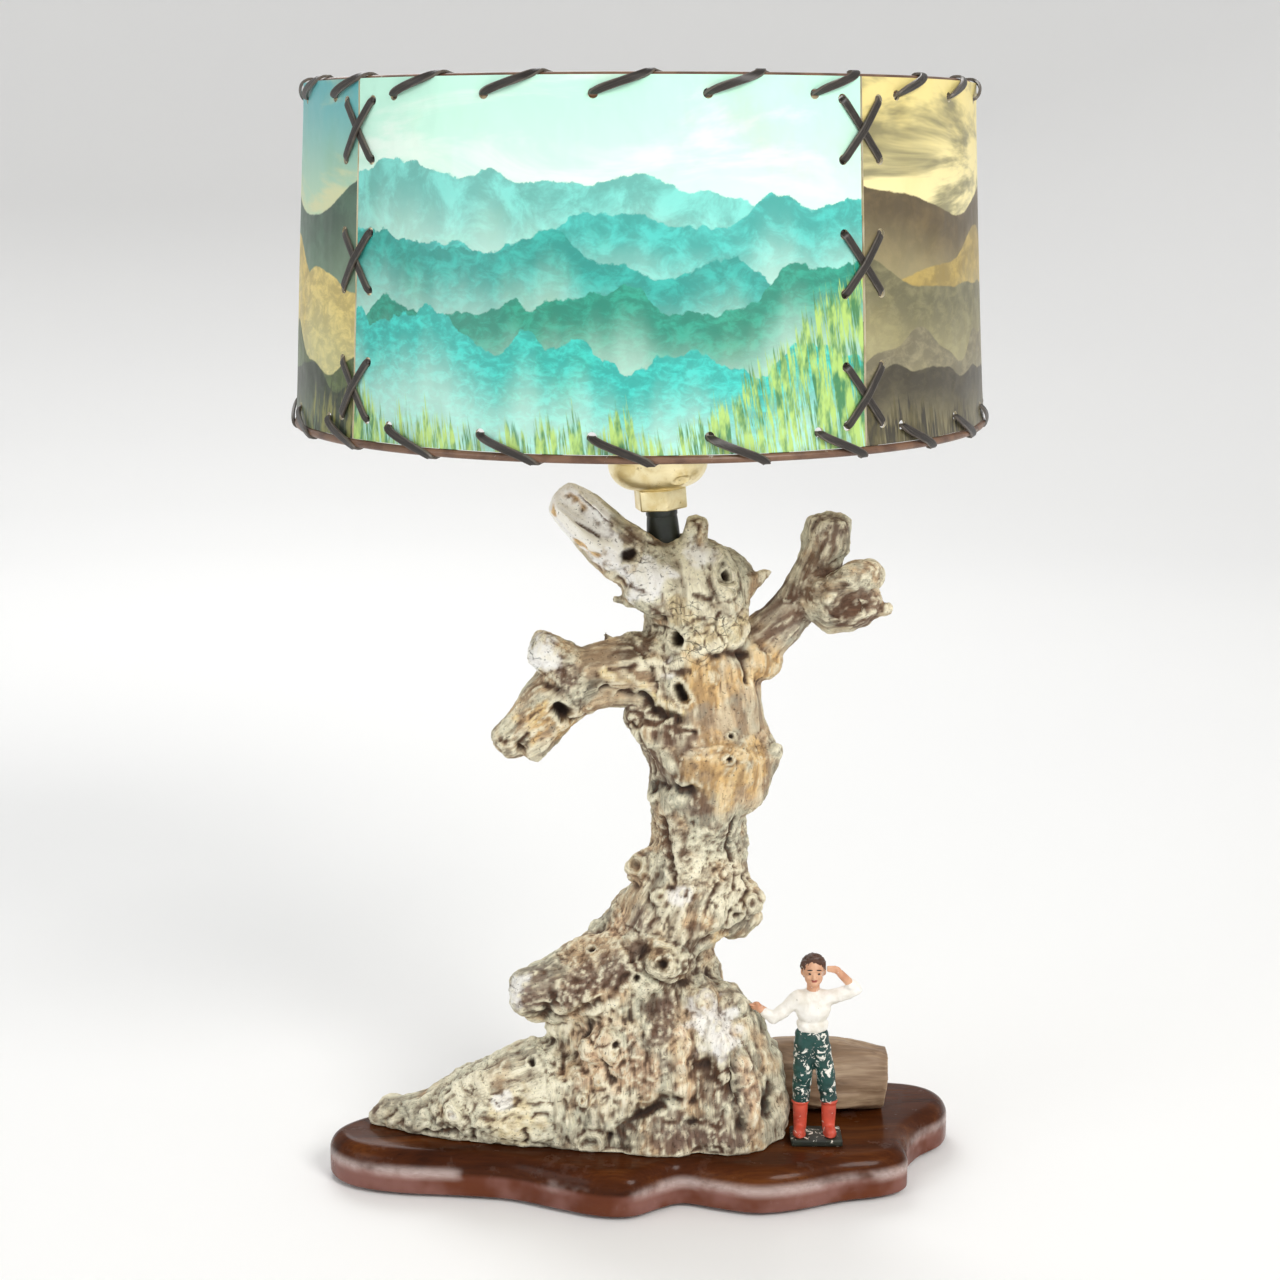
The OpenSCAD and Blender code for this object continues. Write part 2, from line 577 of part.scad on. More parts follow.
module socket_shell() {
    shoulder = cap_rim + 1.5;
    bead = 0.5;
    color("goldenrod") difference() {
        on_neck() rotate_extrude() polygon([[skirt_r - shell_wall, shell_foot], [skirt_r, shell_foot],
            [skirt_r, shoulder], [shell_r, shoulder + 2], [shell_r, shell_top - 3], [shell_r + bead, shell_top - 2],
            [shell_r + bead, shell_top - 1], [shell_r, shell_top], [shell_r - shell_wall, shell_top],
            [shell_r - shell_wall, shoulder + 2 - shell_wall], [skirt_r - shell_wall, shoulder - shell_wall]]);
        shaft_hole(shaft_r + fit);
    }
}

module insulating_sleeve() {
    sleeve_foot = cap_rim + 4;
    color("tan") difference() {
        on_neck() translate([0, 0, sleeve_foot]) difference() {
            cylinder(r = sleeve_r, h = shell_top - sleeve_foot - 1);
            translate([0, 0, -1]) cylinder(r = sleeve_r - sleeve_wall, h = shell_h);
        }
        shaft_hole(shaft_r + fit);
    }
}

// Terminal screws sit on flats at the front and back of the socket body
terminal_r = 2.8;
terminal_t = 2;
terminal_shank_r = 1.4;
flat_y = body_r - terminal_t - 1.2;

module at_terminals() {
    on_neck() for (a = [90, -90]) rotate(a) translate([flat_y, 0, body_foot + 0.45 * body_h])
        rotate([0, 90, 0]) children();
}

module socket_body() {
    color("saddlebrown") difference() {
        on_neck() translate([0, 0, body_foot]) union() {
            cylinder(r = body_r, h = body_h);
            cylinder(r = skirt_r - shell_wall - fit, h = 3);
        }
        at_terminals() {
            translate([-terminal_r - 1.5, -terminal_r - 1.5, 0]) cube([2 * terminal_r + 3, 2 * terminal_r + 3, 20]);
            translate([0, 0, -5]) cylinder(r = terminal_shank_r + bore_fit, h = 6);
        }
        on_shaft() translate([0, 0, 3]) cylinder(r = shaft_r + bore_fit, h = 2 * cap_r);
    }
}

module screw_shell() {
    color("gold") on_neck() translate([0, 0, body_top]) difference() {
        cylinder(r = screw_shell_r, h = screw_shell_h);
        translate([0, 0, screw_shell_wall]) cylinder(r = screw_shell_r - screw_shell_wall, h = screw_shell_h);
        translate([0, 0, -1]) cylinder(r = 7, h = 3);
    }
}

module centre_contact() {
    color("gold") on_neck() translate([0, 0, body_top]) rotate_extrude()
        polygon([[0, 0], [5, 0], [5, 0.5], [3.5, 0.5], [3, contact_h], [0, contact_h]]);
}

module terminal_screws() {
    color("gold") at_terminals() difference() {
        union() {
            cylinder(r = terminal_r, h = terminal_t);
            translate([0, 0, -4.5]) cylinder(r = terminal_shank_r, h = 5);
        }
        translate([-terminal_r, -0.4, terminal_t - 0.7]) cube([2 * terminal_r, 0.8, 1]);
    }
}

// Switch

key_start = cap_r + 1;
key_hub_r = 3.2;

module switch_shaft() {
    color("silver") on_shaft() translate([0, 0, 3.5]) cylinder(r = shaft_r, h = key_start + 6 - 3.5);
}

// A flat turn key with rounded ears on a round hub
module switch_key() {
    ear_r = 0.5 * key_w - 2;
    color("black") difference() {
        union() {
            on_shaft() translate([0, 0, key_start]) cylinder(r = key_hub_r, h = 7);
            on_shaft() translate([0, 0, key_start + 4]) rotate([90, 0, 90]) translate([0, 0, -key_t / 2])
                linear_extrude(key_t) union() {
                    translate([-2, 0]) square([4, key_len - 4]);
                    for (s = [-1, 1]) translate([s * (0.5 * key_w - 0.5 * ear_r), 0.5 * (key_len - 4)])
                        circle(0.5 * ear_r);
                    translate([-0.5 * key_w + 0.5 * ear_r, 0.5 * (key_len - 4) - 0.4 * ear_r])
                        square([key_w - ear_r, 0.8 * ear_r]);
                }
        }
        on_shaft() translate([0, 0, key_start - 1]) cylinder(r = shaft_r, h = 7);
    }
}

// Bulb

bulb_cap_foot = 5;
bulb_cap_wall = 0.5;

module at_bulb_tip() {
    on_neck() translate([0, 0, tip_foot]) children();
}

module bulb_tip() {
    color("silver") at_bulb_tip() rotate_extrude()
        polygon([[0, 0], [3, 0], [4.5, 1], [4.5, 2], [0, 2]]);
}

module bulb_insulator() {
    color("black") at_bulb_tip() rotate_extrude()
        polygon([[0, 2], [5, 2], [bulb_cap_r - 2, bulb_cap_foot], [bulb_cap_r - bulb_cap_wall - fit, bulb_cap_foot],
            [bulb_cap_r - bulb_cap_wall - fit, bulb_cap_foot + 2], [0, bulb_cap_foot + 2]]);
}

module bulb_screw_cap() {
    color("gainsboro") at_bulb_tip() translate([0, 0, bulb_cap_foot]) difference() {
        cylinder(r = bulb_cap_r, h = bulb_cap_h);
        translate([0, 0, -1]) cylinder(r = bulb_cap_r - bulb_cap_wall, h = bulb_cap_h + 2);
    }
}

// The bulb's half outline, drawn in by d: a round bulb, a tangent taper and a straight neck
function bulb_outline(d) =
    let (r = bulb_r - d, neck_r = bulb_neck_r - d, neck_top = bulb_len - bulb_cap_foot - bulb_cap_h - 1,
        low = atan(neck_r / neck_top) + acos(r / norm([neck_r, neck_top])), steps = 20)
    concat([for (i = [0:steps]) let (a = 180 - i * (180 - low) / steps) [r * sin(a), -r * cos(a)]],
        [[neck_r, -neck_top], [neck_r, -neck_top - 10]]);

module bulb_glass() {
    inner = bulb_outline(glass_t);
    outline = concat(bulb_outline(0), [for (i = [len(inner) - 1:-1:0]) inner[i]]);
    color("whitesmoke") on_neck() translate([0, 0, bulb_up]) rotate_extrude() polygon(outline);
}

// Shade

function shade_r(z) = shade_low_r + (shade_top_r - shade_low_r) * (z - shade_low) / shade_h;

// A point on the shade: at an angle, an arc length along the panel, a distance out from it and a height
function on_shade(angle, arc, out, z) = let (a = angle + arc / shade_r(z) * 180 / PI, r = shade_r(z) + out)
    [r * cos(a), r * sin(a), z];

// Angles of the rim holes of panel i, and of all the rim holes, going round from the back seam
function rim_holes(i) = [for (k = [0:stitches[i] - 1]) starts[i] + spans[i] * (k + 0.5) / stitches[i]];
all_holes = concat([for (a = rim_holes(2)) a - 360], [for (a = rim_holes(3)) a - 360], rim_holes(0), rim_holes(1));

function cross_z(k) = shade_top - cross_in - k * (shade_h - 2 * cross_in) / (crosses - 1);

module punch(p) {
    translate([p[0], p[1], p[2]]) rotate(atan2(p[1], p[0])) rotate([0, 90, 0])
        cylinder(r = hole_r, h = 6 * panel_t, center = true);
}

// A panel of the drum: a quarter of a tapering shell with a row of holes along each edge
module panel(i) {
    trim = 0.5 * seam_gap / shade_top_r * 180 / PI;
    difference() {
        rotate(starts[i] + trim) rotate_extrude(angle = spans[i] - 2 * trim) polygon([
            [shade_low_r - panel_t / 2, shade_low], [shade_low_r + panel_t / 2, shade_low],
            [shade_top_r + panel_t / 2, shade_top], [shade_top_r - panel_t / 2, shade_top]]);
        for (a = rim_holes(i), z = [shade_low + hole_in, shade_top - hole_in]) punch(on_shade(a, 0, 0, z));
        for (k = [0:crosses - 1], s = [-1, 1]) {
            punch(on_shade(starts[i], cross_w, 0, cross_z(k) + s * cross_h));
            punch(on_shade(starts[i] + spans[i], -cross_w, 0, cross_z(k) + s * cross_h));
        }
    }
}

module front_panel() {
    color("lightseagreen") panel(0);
}

module right_panel() {
    color("khaki") panel(1);
}

module back_panel() {
    color("mediumaquamarine") panel(2);
}

module left_panel() {
    color("darkkhaki") panel(3);
}

// The top ring lies inside the panels, a little below their edge; the bottom ring lies under the panels' edge
ring_off = wire_r + 0.2;
ring_drop = 0.4;
top_ring_gap = 0.5;
top_ring_in = panel_t / 2 + top_ring_gap + wire_r;
top_ring_r = shade_top_r - top_ring_in;
top_ring_z = shade_top - ring_drop;

module wire_ring(r, wire) {
    rotate_extrude() translate([r, 0]) circle(wire);
}

module top_ring() {
    color("peru") translate([0, 0, top_ring_z]) wire_ring(top_ring_r, wire_r);
}

module bottom_ring() {
    color("peru") translate([0, 0, shade_low - ring_off]) wire_ring(shade_low_r, wire_r);
}

// One bulb clip: a hoop against the bulb, and an arm that rises from it and bends out to the top ring.
// The arm's straight wires run a little way into the hoop and into the bend, which is a shade thicker.
module bulb_clip() {
    arm_z = top_ring_z;
    arm_end = top_ring_r - wire_r - 0.15;
    run_in = 0.4;
    bend_wire_r = arm_wire_r + 0.06;
    translate([0, 0, bulb_z]) rotate([0, -hoop_tilt, 0])
        translate([sqrt(pow(hoop_reach, 2) - pow(hoop_r, 2)), 0, 0]) rotate([0, 90, 0])
            wire_ring(hoop_r, clip_wire_r);
    translate([arm_x, 0, arm_foot - run_in])
        cylinder(r = arm_wire_r, h = arm_z - arm_bend - arm_foot + 2 * run_in);
    translate([arm_x + arm_bend, 0, arm_z - arm_bend]) rotate([90, 0, 0]) rotate(90)
        rotate_extrude(angle = 90) translate([arm_bend, 0]) circle(bend_wire_r);
    translate([arm_x + arm_bend - run_in, 0, arm_z]) rotate([0, 90, 0])
        cylinder(r = arm_wire_r, h = arm_end - arm_x - arm_bend + run_in);
}

module right_bulb_clip() {
    color("silver") bulb_clip();
}

module left_bulb_clip() {
    color("silver") mirror([1, 0, 0]) bulb_clip();
}

// Lacing

lace_rings = 10;
// The slack of a rim stitch, which goes round the wire ring and through the hole
stitch_slack = 1;
// A rim, as [height of the panels' edge, way out of the shade, shift of a stitch where it goes over the edge,
// half the stitch's depth, its reach past the edge]
top_rim = [shade_top, 1, -0.85 * top_ring_in, wire_r + lace_r + 1.8 * stitch_slack,
    wire_r - ring_drop + lace_r + 0.8 * stitch_slack];
low_rim = [shade_low, -1, 0, wire_r + lace_r + stitch_slack, wire_r + ring_off + lace_r + stitch_slack];

// A point of the rim lace: stitch k at phase f, where 0 is in the hole, 90 outside and 180 over the rim.
// The lace goes straight through the hole and over the rim, and slants along the panel between them.
function stitch_point(k, f, rim) =
    let (next = k + 1 < len(all_holes) ? all_holes[k + 1] : all_holes[0] + 360,
        share = (f - 90 / PI * sin(2 * f)) / 360,
        a = all_holes[k] + (next - all_holes[k]) * share,
        over = 0.5 * (1 - cos(f)),
        z = rim[0] + rim[1] * ((rim[4] + hole_in) * over - hole_in),
        r_edge = shade_r(rim[0]),
        r_hole = shade_r(rim[0] - rim[1] * hole_in),
        r = r_hole + (r_edge + rim[2] - r_hole) * over + rim[3] * sin(f))
    [r * cos(a), r * sin(a), z];

// The whole rim lace: a straight tail inside the shade, every stitch in turn, and a straight tail at the end
function rim_path(rim) =
    let (n = len(all_holes), step = 360 / lace_rings,
        first = stitch_point(0, 0, rim),
        body = [for (k = [0:n - 1], j = [0:lace_rings - 1]) if (k < n - 1 || j * step <= 300)
            stitch_point(k, j * step, rim)],
        last = body[len(body) - 1])
    concat([first - 3 * lace_r * unit([first[0], first[1], 0])], body,
        [last + 2 * lace_r * unit(last - body[len(body) - 2])]);

module rim_lacing(name, rim) {
    path = rim_path(rim);
    echo(str(name, " least gap ", least_gap(path, lace_r)));
    tube(path, lace_r);
}

module top_lacing() {
    color("#2b1d16") rim_lacing("top_lacing", top_rim);
}

module bottom_lacing() {
    color("#2b1d16") rim_lacing("bottom_lacing", low_rim);
}

// Distance of the lace's centre line from the middle of the panel, and its rise where two strands cross
lace_out = panel_t / 2 + lace_r + 0.35;
lace_rise = 2 * lace_r + 0.8;

// Each corner of a path becomes two points, one on either side of it
function eased(p, c) = concat([p[0]],
    [for (i = [1:len(p) - 2], s = [-1, 1]) p[i] + c * unit(p[i + s] - p[i])], [p[len(p) - 1]]);

// One cross of a seam: down to the right outside, up inside, then down to the left over the first strand
function cross_path(angle, z) = [
    on_shade(angle, -cross_w, -lace_out, z + cross_h), on_shade(angle, -cross_w, lace_out, z + cross_h),
    on_shade(angle, 0, lace_out, z),
    on_shade(angle, cross_w, lace_out, z - cross_h), on_shade(angle, cross_w, -lace_out, z - cross_h),
    on_shade(angle, cross_w, -lace_out, z + cross_h), on_shade(angle, cross_w, lace_out, z + cross_h),
    on_shade(angle, 0, lace_out + lace_rise, z),
    on_shade(angle, -cross_w, lace_out, z - cross_h), on_shade(angle, -cross_w, -lace_out, z - cross_h)];

module seam_lacing(i) {
    corners = [for (k = [0:crosses - 1], p = cross_path(starts[i], cross_z(k))) p];
    first = corners[0];
    last = corners[len(corners) - 1];
    tails = [first - 3 * lace_r * unit([first[0], first[1], 0]), last - 3 * lace_r * unit([last[0], last[1], 0])];
    path = eased(concat([tails[0]], [for (k = [1:len(corners) - 2]) corners[k]], [tails[1]]), lace_r);
    echo(str("seam lacing ", i, " least gap ", least_gap(path, lace_r)));
    tube(path, lace_r);
}

module front_left_seam_lacing() {
    color("#2b1d16") seam_lacing(0);
}

module front_right_seam_lacing() {
    color("#2b1d16") seam_lacing(1);
}

module back_right_seam_lacing() {
    color("#2b1d16") seam_lacing(2);
}

module back_left_seam_lacing() {
    color("#2b1d16") seam_lacing(3);
}

base_board();
felt_pad();
base_screws();
driftwood_trunk();
side_log();
figurine();
cord_bushing();
nipple();
neck_spacer();
socket_cap();
socket_shell();
insulating_sleeve();
socket_body();
screw_shell();
centre_contact();
terminal_screws();
switch_shaft();
switch_key();
bulb_tip();
bulb_insulator();
bulb_screw_cap();
bulb_glass();
front_panel();
right_panel();
back_panel();
left_panel();
top_ring();
bottom_ring();
left_bulb_clip();
right_bulb_clip();
top_lacing();
bottom_lacing();
front_left_seam_lacing();
front_right_seam_lacing();
back_right_seam_lacing();
back_left_seam_lacing();
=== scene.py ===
"""Looks of a driftwood table lamp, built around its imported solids.

Lengths are worked out in millimetres, as in the part's source, and put into Blender in metres.
"""

from __future__ import annotations

import logging
import math
from collections.abc import Iterable, Iterator, Mapping, Sequence
from contextlib import contextmanager
from dataclasses import dataclass, field
from enum import Enum

import bpy
import numpy as np
from mathutils import Matrix, Vector, noise


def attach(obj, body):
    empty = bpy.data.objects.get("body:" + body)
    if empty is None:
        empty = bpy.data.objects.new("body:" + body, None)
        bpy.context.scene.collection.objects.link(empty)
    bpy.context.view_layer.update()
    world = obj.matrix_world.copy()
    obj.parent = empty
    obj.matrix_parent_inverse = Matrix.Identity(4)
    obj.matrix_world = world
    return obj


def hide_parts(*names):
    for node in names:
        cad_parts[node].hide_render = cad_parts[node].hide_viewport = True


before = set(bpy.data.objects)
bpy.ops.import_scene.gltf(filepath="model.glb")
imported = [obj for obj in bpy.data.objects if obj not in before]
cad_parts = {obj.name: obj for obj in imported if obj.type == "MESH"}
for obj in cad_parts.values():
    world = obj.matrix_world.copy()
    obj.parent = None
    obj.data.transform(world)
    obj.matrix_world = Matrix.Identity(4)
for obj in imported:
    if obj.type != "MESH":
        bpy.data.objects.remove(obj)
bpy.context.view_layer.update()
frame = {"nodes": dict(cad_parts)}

LOG = logging.getLogger("driftwood_lamp")
MM = 0.001

Array = np.ndarray
Material = bpy.types.Material
Piece = bpy.types.Object
Point = tuple[float, float, float]
Colour = tuple[float, float, float]


def paint(code: str) -> Colour:
    """Turns a colour as it is seen into the light it gives back.

    Args:
        code: Six hexadecimal digits, two each for red, green and blue.

    Returns:
        The linear red, green and blue shares.
    """
    seen = [int(code[i:i + 2], 16) / 255 for i in (0, 2, 4)]
    return tuple(s / 12.92 if s <= 0.04045 else ((s + 0.055) / 1.055) ** 2.4 for s in seen)


def paints(codes: str) -> tuple[Colour, ...]:
    """Turns colours as they are seen, parted by blanks, into the light they give back."""
    return tuple(paint(code) for code in codes.split())


# Shader maths


class Value:
    """A shader socket on which Python's operators work; each operator adds one Math node."""

    def __init__(self, shader: Shader, socket: bpy.types.NodeSocket) -> None:
        """Wraps an output socket of a shader's node.

        Args:
            shader: The shader that holds the node.
            socket: The output socket.
        """
        self.shader = shader
        self.socket = socket

    def _math(self, operation: str, first: Input, second: Input = 0.0) -> Value:
        """Adds a Math node.

        Args:
            operation: The node's operation.
            first: Its first input.
            second: Its second input.

        Returns:
            The result.
        """
        return self.shader.out("ShaderNodeMath", {"operation": operation}, {0: first, 1: second})

    def __add__(self, other: Input) -> Value:
        """Adds."""
        return self._math("ADD", self, other)

    __radd__ = __add__

    def __mul__(self, other: Input) -> Value:
        """Multiplies."""
        return self._math("MULTIPLY", self, other)

    __rmul__ = __mul__

    def __sub__(self, other: Input) -> Value:
        """Subtracts."""
        return self._math("SUBTRACT", self, other)

    def __rsub__(self, other: Input) -> Value:
        """Subtracts this from another value."""
        return self._math("SUBTRACT", other, self)

    def __truediv__(self, other: Input) -> Value:
        """Divides."""
        return self._math("DIVIDE", self, other)

    def __pow__(self, other: Input) -> Value:
        """Raises to a power."""
        return self._math("POWER", self, other)

    def __mod__(self, other: Input) -> Value:
        """Takes the remainder, which is never below zero."""
        return self._math("FLOORED_MODULO", self, other)

    def __abs__(self) -> Value:
        """Drops the sign."""
        return self._math("ABSOLUTE", self)


Input = Value | float | int | tuple


class Shader:
    """One procedural material: a Principled surface and the nodes that feed it."""

    def __init__(self, name: str) -> None:
        """Starts a material.

        Args:
            name: The material's name.
        """
        self.material = bpy.data.materials.new(name)
        self.material.use_nodes = True
        self.tree = self.material.node_tree
        self.tree.nodes.clear()
        self.surface = self.node("ShaderNodeBsdfPrincipled")
        self.node("ShaderNodeOutputMaterial", {}, {"Surface": Value(self, self.surface.outputs[0])})

    def node(self, kind: str, settings: Mapping[str, object] | None = None,
             sockets: Mapping[str | int, Input] | None = None) -> bpy.types.Node:
        """Adds a node.

        Args:
            kind: The node's type.
            settings: Its properties, set first; "stops" sets a ramp's places and colours.
            sockets: Values or links of its inputs, by name or number.

        Returns:
            The node.
        """
        node = self.tree.nodes.new(kind)
        for key, value in (settings or {}).items():
            if key == "stops":
                marks = node.color_ramp.elements
                while len(marks) < len(value):
                    marks.new(0.5)
                for mark, (place, colour) in zip(marks, value):
                    mark.position = place
                    mark.color = (*colour, 1.0)
            else:
                setattr(node, key, value)
        for key, value in (sockets or {}).items():
            self.plug(node.inputs[key], value)
        return node

    def plug(self, socket: bpy.types.NodeSocket, value: Input) -> None:
        """Gives an input socket a link, a number or a colour.

        Args:
            socket: The input socket.
            value: What it gets.
        """
        if isinstance(value, Value):
            self.tree.links.new(value.socket, socket)
        elif socket.type == "RGBA":
            socket.default_value = (*value, 1.0)
        else:
            socket.default_value = value

    def out(self, kind: str, settings: Mapping[str, object] | None = None,
            sockets: Mapping[str | int, Input] | None = None, output: str | int = 0) -> Value:
        """Adds a node and gives one of its outputs.

        Args:
            kind: The node's type.
            settings: Its properties.
            sockets: Values or links of its inputs.
            output: The output's name or number.

        Returns:
            The output.
        """
        return Value(self, self.node(kind, settings, sockets).outputs[output])

    def place(self) -> Value:
        """Gives the Object coordinates, in metres."""
        return self.out("ShaderNodeTexCoord", output="Object")

    def parts(self, vector: Value) -> tuple[Value, Value, Value]:
        """Splits a vector into its three numbers."""
        node = self.node("ShaderNodeSeparateXYZ", {}, {0: vector})
        return tuple(Value(self, socket) for socket in node.outputs)

    def joined(self, x: Input, y: Input, z: Input) -> Value:
        """Makes a vector of three numbers."""
        return self.out("ShaderNodeCombineXYZ", {}, {0: x, 1: y, 2: z})

    def stretched(self, vector: Value, scale: Point) -> Value:
        """Multiplies a vector by a scale for each direction."""
        return self.out("ShaderNodeVectorMath", {"operation": "MULTIPLY"}, {0: vector, 1: scale})

    def shifted(self, vector: Value, by: Input) -> Value:
        """Adds a vector to a vector."""
        return self.out("ShaderNodeVectorMath", {"operation": "ADD"}, {0: vector, 1: by})

    def attribute(self, name: str, output: str = "Fac") -> Value:
        """Reads an attribute of the mesh."""
        return self.out("ShaderNodeAttribute", {"attribute_name": name}, output=output)

    def noise(self, vector: Value, scale: float, detail: float = 3.0, rough: float = 0.55,
              warp: float = 0.0) -> Value:
        """Adds noise over a vector.

        Args:
            vector: Where it is read.
            scale: Repeats per unit.
            detail: Octaves.
            rough: Share of each finer octave.
            warp: How far the pattern is twisted.

        Returns:
            The noise, around one half.
        """
        return self.out("ShaderNodeTexNoise", {}, {"Vector": vector, "Scale": scale, "Detail": detail,
                                                   "Roughness": rough, "Distortion": warp})

    def line_noise(self, along: Input, detail: float = 3.0, rough: float = 0.5) -> Value:
        """Adds noise over one number."""
        return self.out("ShaderNodeTexNoise", {"noise_dimensions": "1D"},
                        {"W": along, "Scale": 1.0, "Detail": detail, "Roughness": rough})

    def cells(self, vector: Value, scale: float, feature: str = "F1") -> Value:
        """Adds the distance pattern of scattered points."""
        return self.out("ShaderNodeTexVoronoi", {"feature": feature}, {"Vector": vector, "Scale": scale},
                        output="Distance")

    def step(self, value: Input, low: float, high: float) -> Value:
        """Rises smoothly from 0 at low to 1 at high, or falls where low is above high."""
        flip = low > high
        ends = (high, low) if flip else (low, high)
        rise = self.out("ShaderNodeMapRange", {"interpolation_type": "SMOOTHSTEP"},
                        {"Value": value, "From Min": ends[0], "From Max": ends[1]})
        return 1 - rise if flip else rise

    def mix(self, share: Input, first: Input, second: Input, blend: str = "MIX") -> Value:
        """Mixes two colours.

        Args:
            share: Share of the second colour.
            first: The first colour.
            second: The second colour.
            blend: How the second is laid over the first.

        Returns:
            The colour.
        """
        return self.out("ShaderNodeMix", {"data_type": "RGBA", "blend_type": blend},
                        {0: share, 6: first, 7: second}, output=2)

    def ramp(self, value: Value, stops: Sequence[tuple[float, Colour]]) -> Value:
        """Turns a number into a colour between stops."""
        return self.out("ShaderNodeValToRGB", {"stops": stops}, {0: value})

    def dress(self, colour: Input, rough: Input, bump: Value | None = None, bump_mm: float = 0.2,
              **fixed: float) -> Material:
        """Connects the surface.

        Args:
            colour: The base colour.
            rough: The roughness.
            bump: Height of the fine relief, from 0 to 1.
            bump_mm: Depth of the relief in millimetres.
            fixed: Other inputs of the surface, with _ for each space, the same all over.

        Returns:
            The material.
        """
        self.plug(self.surface.inputs["Base Color"], colour)
        self.plug(self.surface.inputs["Roughness"], rough)
        for key, value in fixed.items():
            self.plug(self.surface.inputs[key.replace("_", " ")], value)
        if bump is not None:
            sizes = {"Strength": 1.0, "Distance": bump_mm * MM, "Height": bump}
            self.plug(self.surface.inputs["Normal"], self.out("ShaderNodeBump", {}, sizes))
        return self.material


# Finishes


@dataclass(frozen=True)
class Driftwood:
    """Weathered wood: broad tones, with painted shade in the recesses and a painted highlight on the
    crests, come with the mesh; streaks, rings and pits come from the nodes.
    """

    across_mm: float = 0.8
    ring_mm: float = 1.15
    # Dark colour of the rings, pits and cracks, and of the painted shade in the holes and recesses.
    recess: Colour = paint("2a1e16")
    bleach: Colour = (0.80, 0.77, 0.70)
    dirt: Colour = (0.40, 0.36, 0.32)
    damp: Colour = (0.54, 0.48, 0.45)

    def material(self) -> Material:
        """Makes the material."""
        s = Shader("driftwood")
        tint = s.attribute("tint", "Color")
        hollow = s.attribute("hollow")
        place = s.place()
        streak = s.noise(s.attribute("grain", "Vector"), 1 / (self.across_mm * MM), 4.0, 0.62, 0.4)
        broad = s.noise(place, 170, 4.0, 0.6, 0.8)
        pits = s.noise(place, 900, 3.0, 0.6)
        far, share, calm = s.parts(s.attribute("rings", "Vector"))
        lively = 1 - calm * 0.6
        wave = abs((far / self.ring_mm + broad * 0.9) % 1.0 - 0.5) * 2
        rings = s.step(wave, 0.55, 0.95) * share
        cracks = self._cracks(s, place)
        dull = s.step(s.parts(tint)[2], 0.85, 0.60) * 0.75 + 0.25
        colour = s.mix(s.step(streak, 0.44, 0.72) * lively * 0.65, tint, self.bleach, "OVERLAY")
        colour = s.mix(s.step(streak, 0.47, 0.27) * dull * lively * 0.8, colour, self.dirt, "MULTIPLY")
        colour = s.mix(s.step(broad, 0.46, 0.70) * dull * 0.5, colour, self.damp, "MULTIPLY")
        colour = s.mix(rings * 0.3, colour, self.recess)
        colour = s.mix(s.step(pits, 0.40, 0.30) * 0.7, colour, self.recess)
        colour = s.mix(cracks * 0.85, colour, self.recess)
        # Painted shade: the holes and the recesses go towards the dark colour.
        colour = s.mix(hollow, colour, self.recess)
        height = streak * 0.55 + pits * 0.35 - cracks * 0.7 - rings * 0.25
        return s.dress(colour, 0.80 - streak * 0.25, height, 0.5, Specular_IOR_Level=0.3)

    def _cracks(self, s: Shader, place: Value) -> Value:
        """Draws flat, broken cracks where the wood is crazed.

        Args:
            s: The shader.
            place: Object coordinates.

        Returns:
            The share of crack.
        """
        bend = s.out("ShaderNodeTexNoise", {}, {"Vector": place, "Scale": 110.0, "Detail": 3.0},
                     output="Color")
        moved = s.shifted(place, s.stretched(bend, (0.009, 0.009, 0.009)))
        edge = s.step(s.cells(s.stretched(moved, (1.0, 1.0, 2.1)), 125, "DISTANCE_TO_EDGE"), 0.04, 0.0)
        return edge * s.step(s.noise(place, 130, 2.0), 0.46, 0.58) * s.attribute("cracked")


@dataclass(frozen=True)
class LogWood:
    """Smooth brown wood with its grain along X and rings on the sawn end."""

    middle: Point = (0.056, 0.021, 0.0325)
    dark: Colour = paint("5c4836")
    mid: Colour = paint("8a7057")
    pale: Colour = paint("b8a082")

    def material(self) -> Material:
        """Makes the material."""
        s = Shader("log_wood")
        place = s.place()
        sawn = s.attribute("sawn")
        lines = s.noise(s.stretched(place, (40, 520, 520)), 1.0, 4.0, 0.6, 0.6)
        broad = s.noise(s.stretched(place, (25, 90, 90)), 1.0, 3.0, 0.6)
        _, y, z = s.parts(s.shifted(place, tuple(-v for v in self.middle)))
        wobble = s.noise(place, 160, 3.0) * 0.0022
        rings = s.line_noise(((y * y + z * z) ** 0.5 + wobble) * 950, 2.0)
        side = s.ramp(lines * 0.4 + broad * 0.6, ((0.30, self.dark), (0.48, self.mid), (0.68, self.pale)))
        end = s.ramp(rings, ((0.30, self.mid), (0.62, self.pale)))
        colour = s.mix(sawn, side, end)
        return s.dress(colour, 0.62 - lines * 0.15, lines * 0.7 + rings * sawn * 0.3, 0.35)


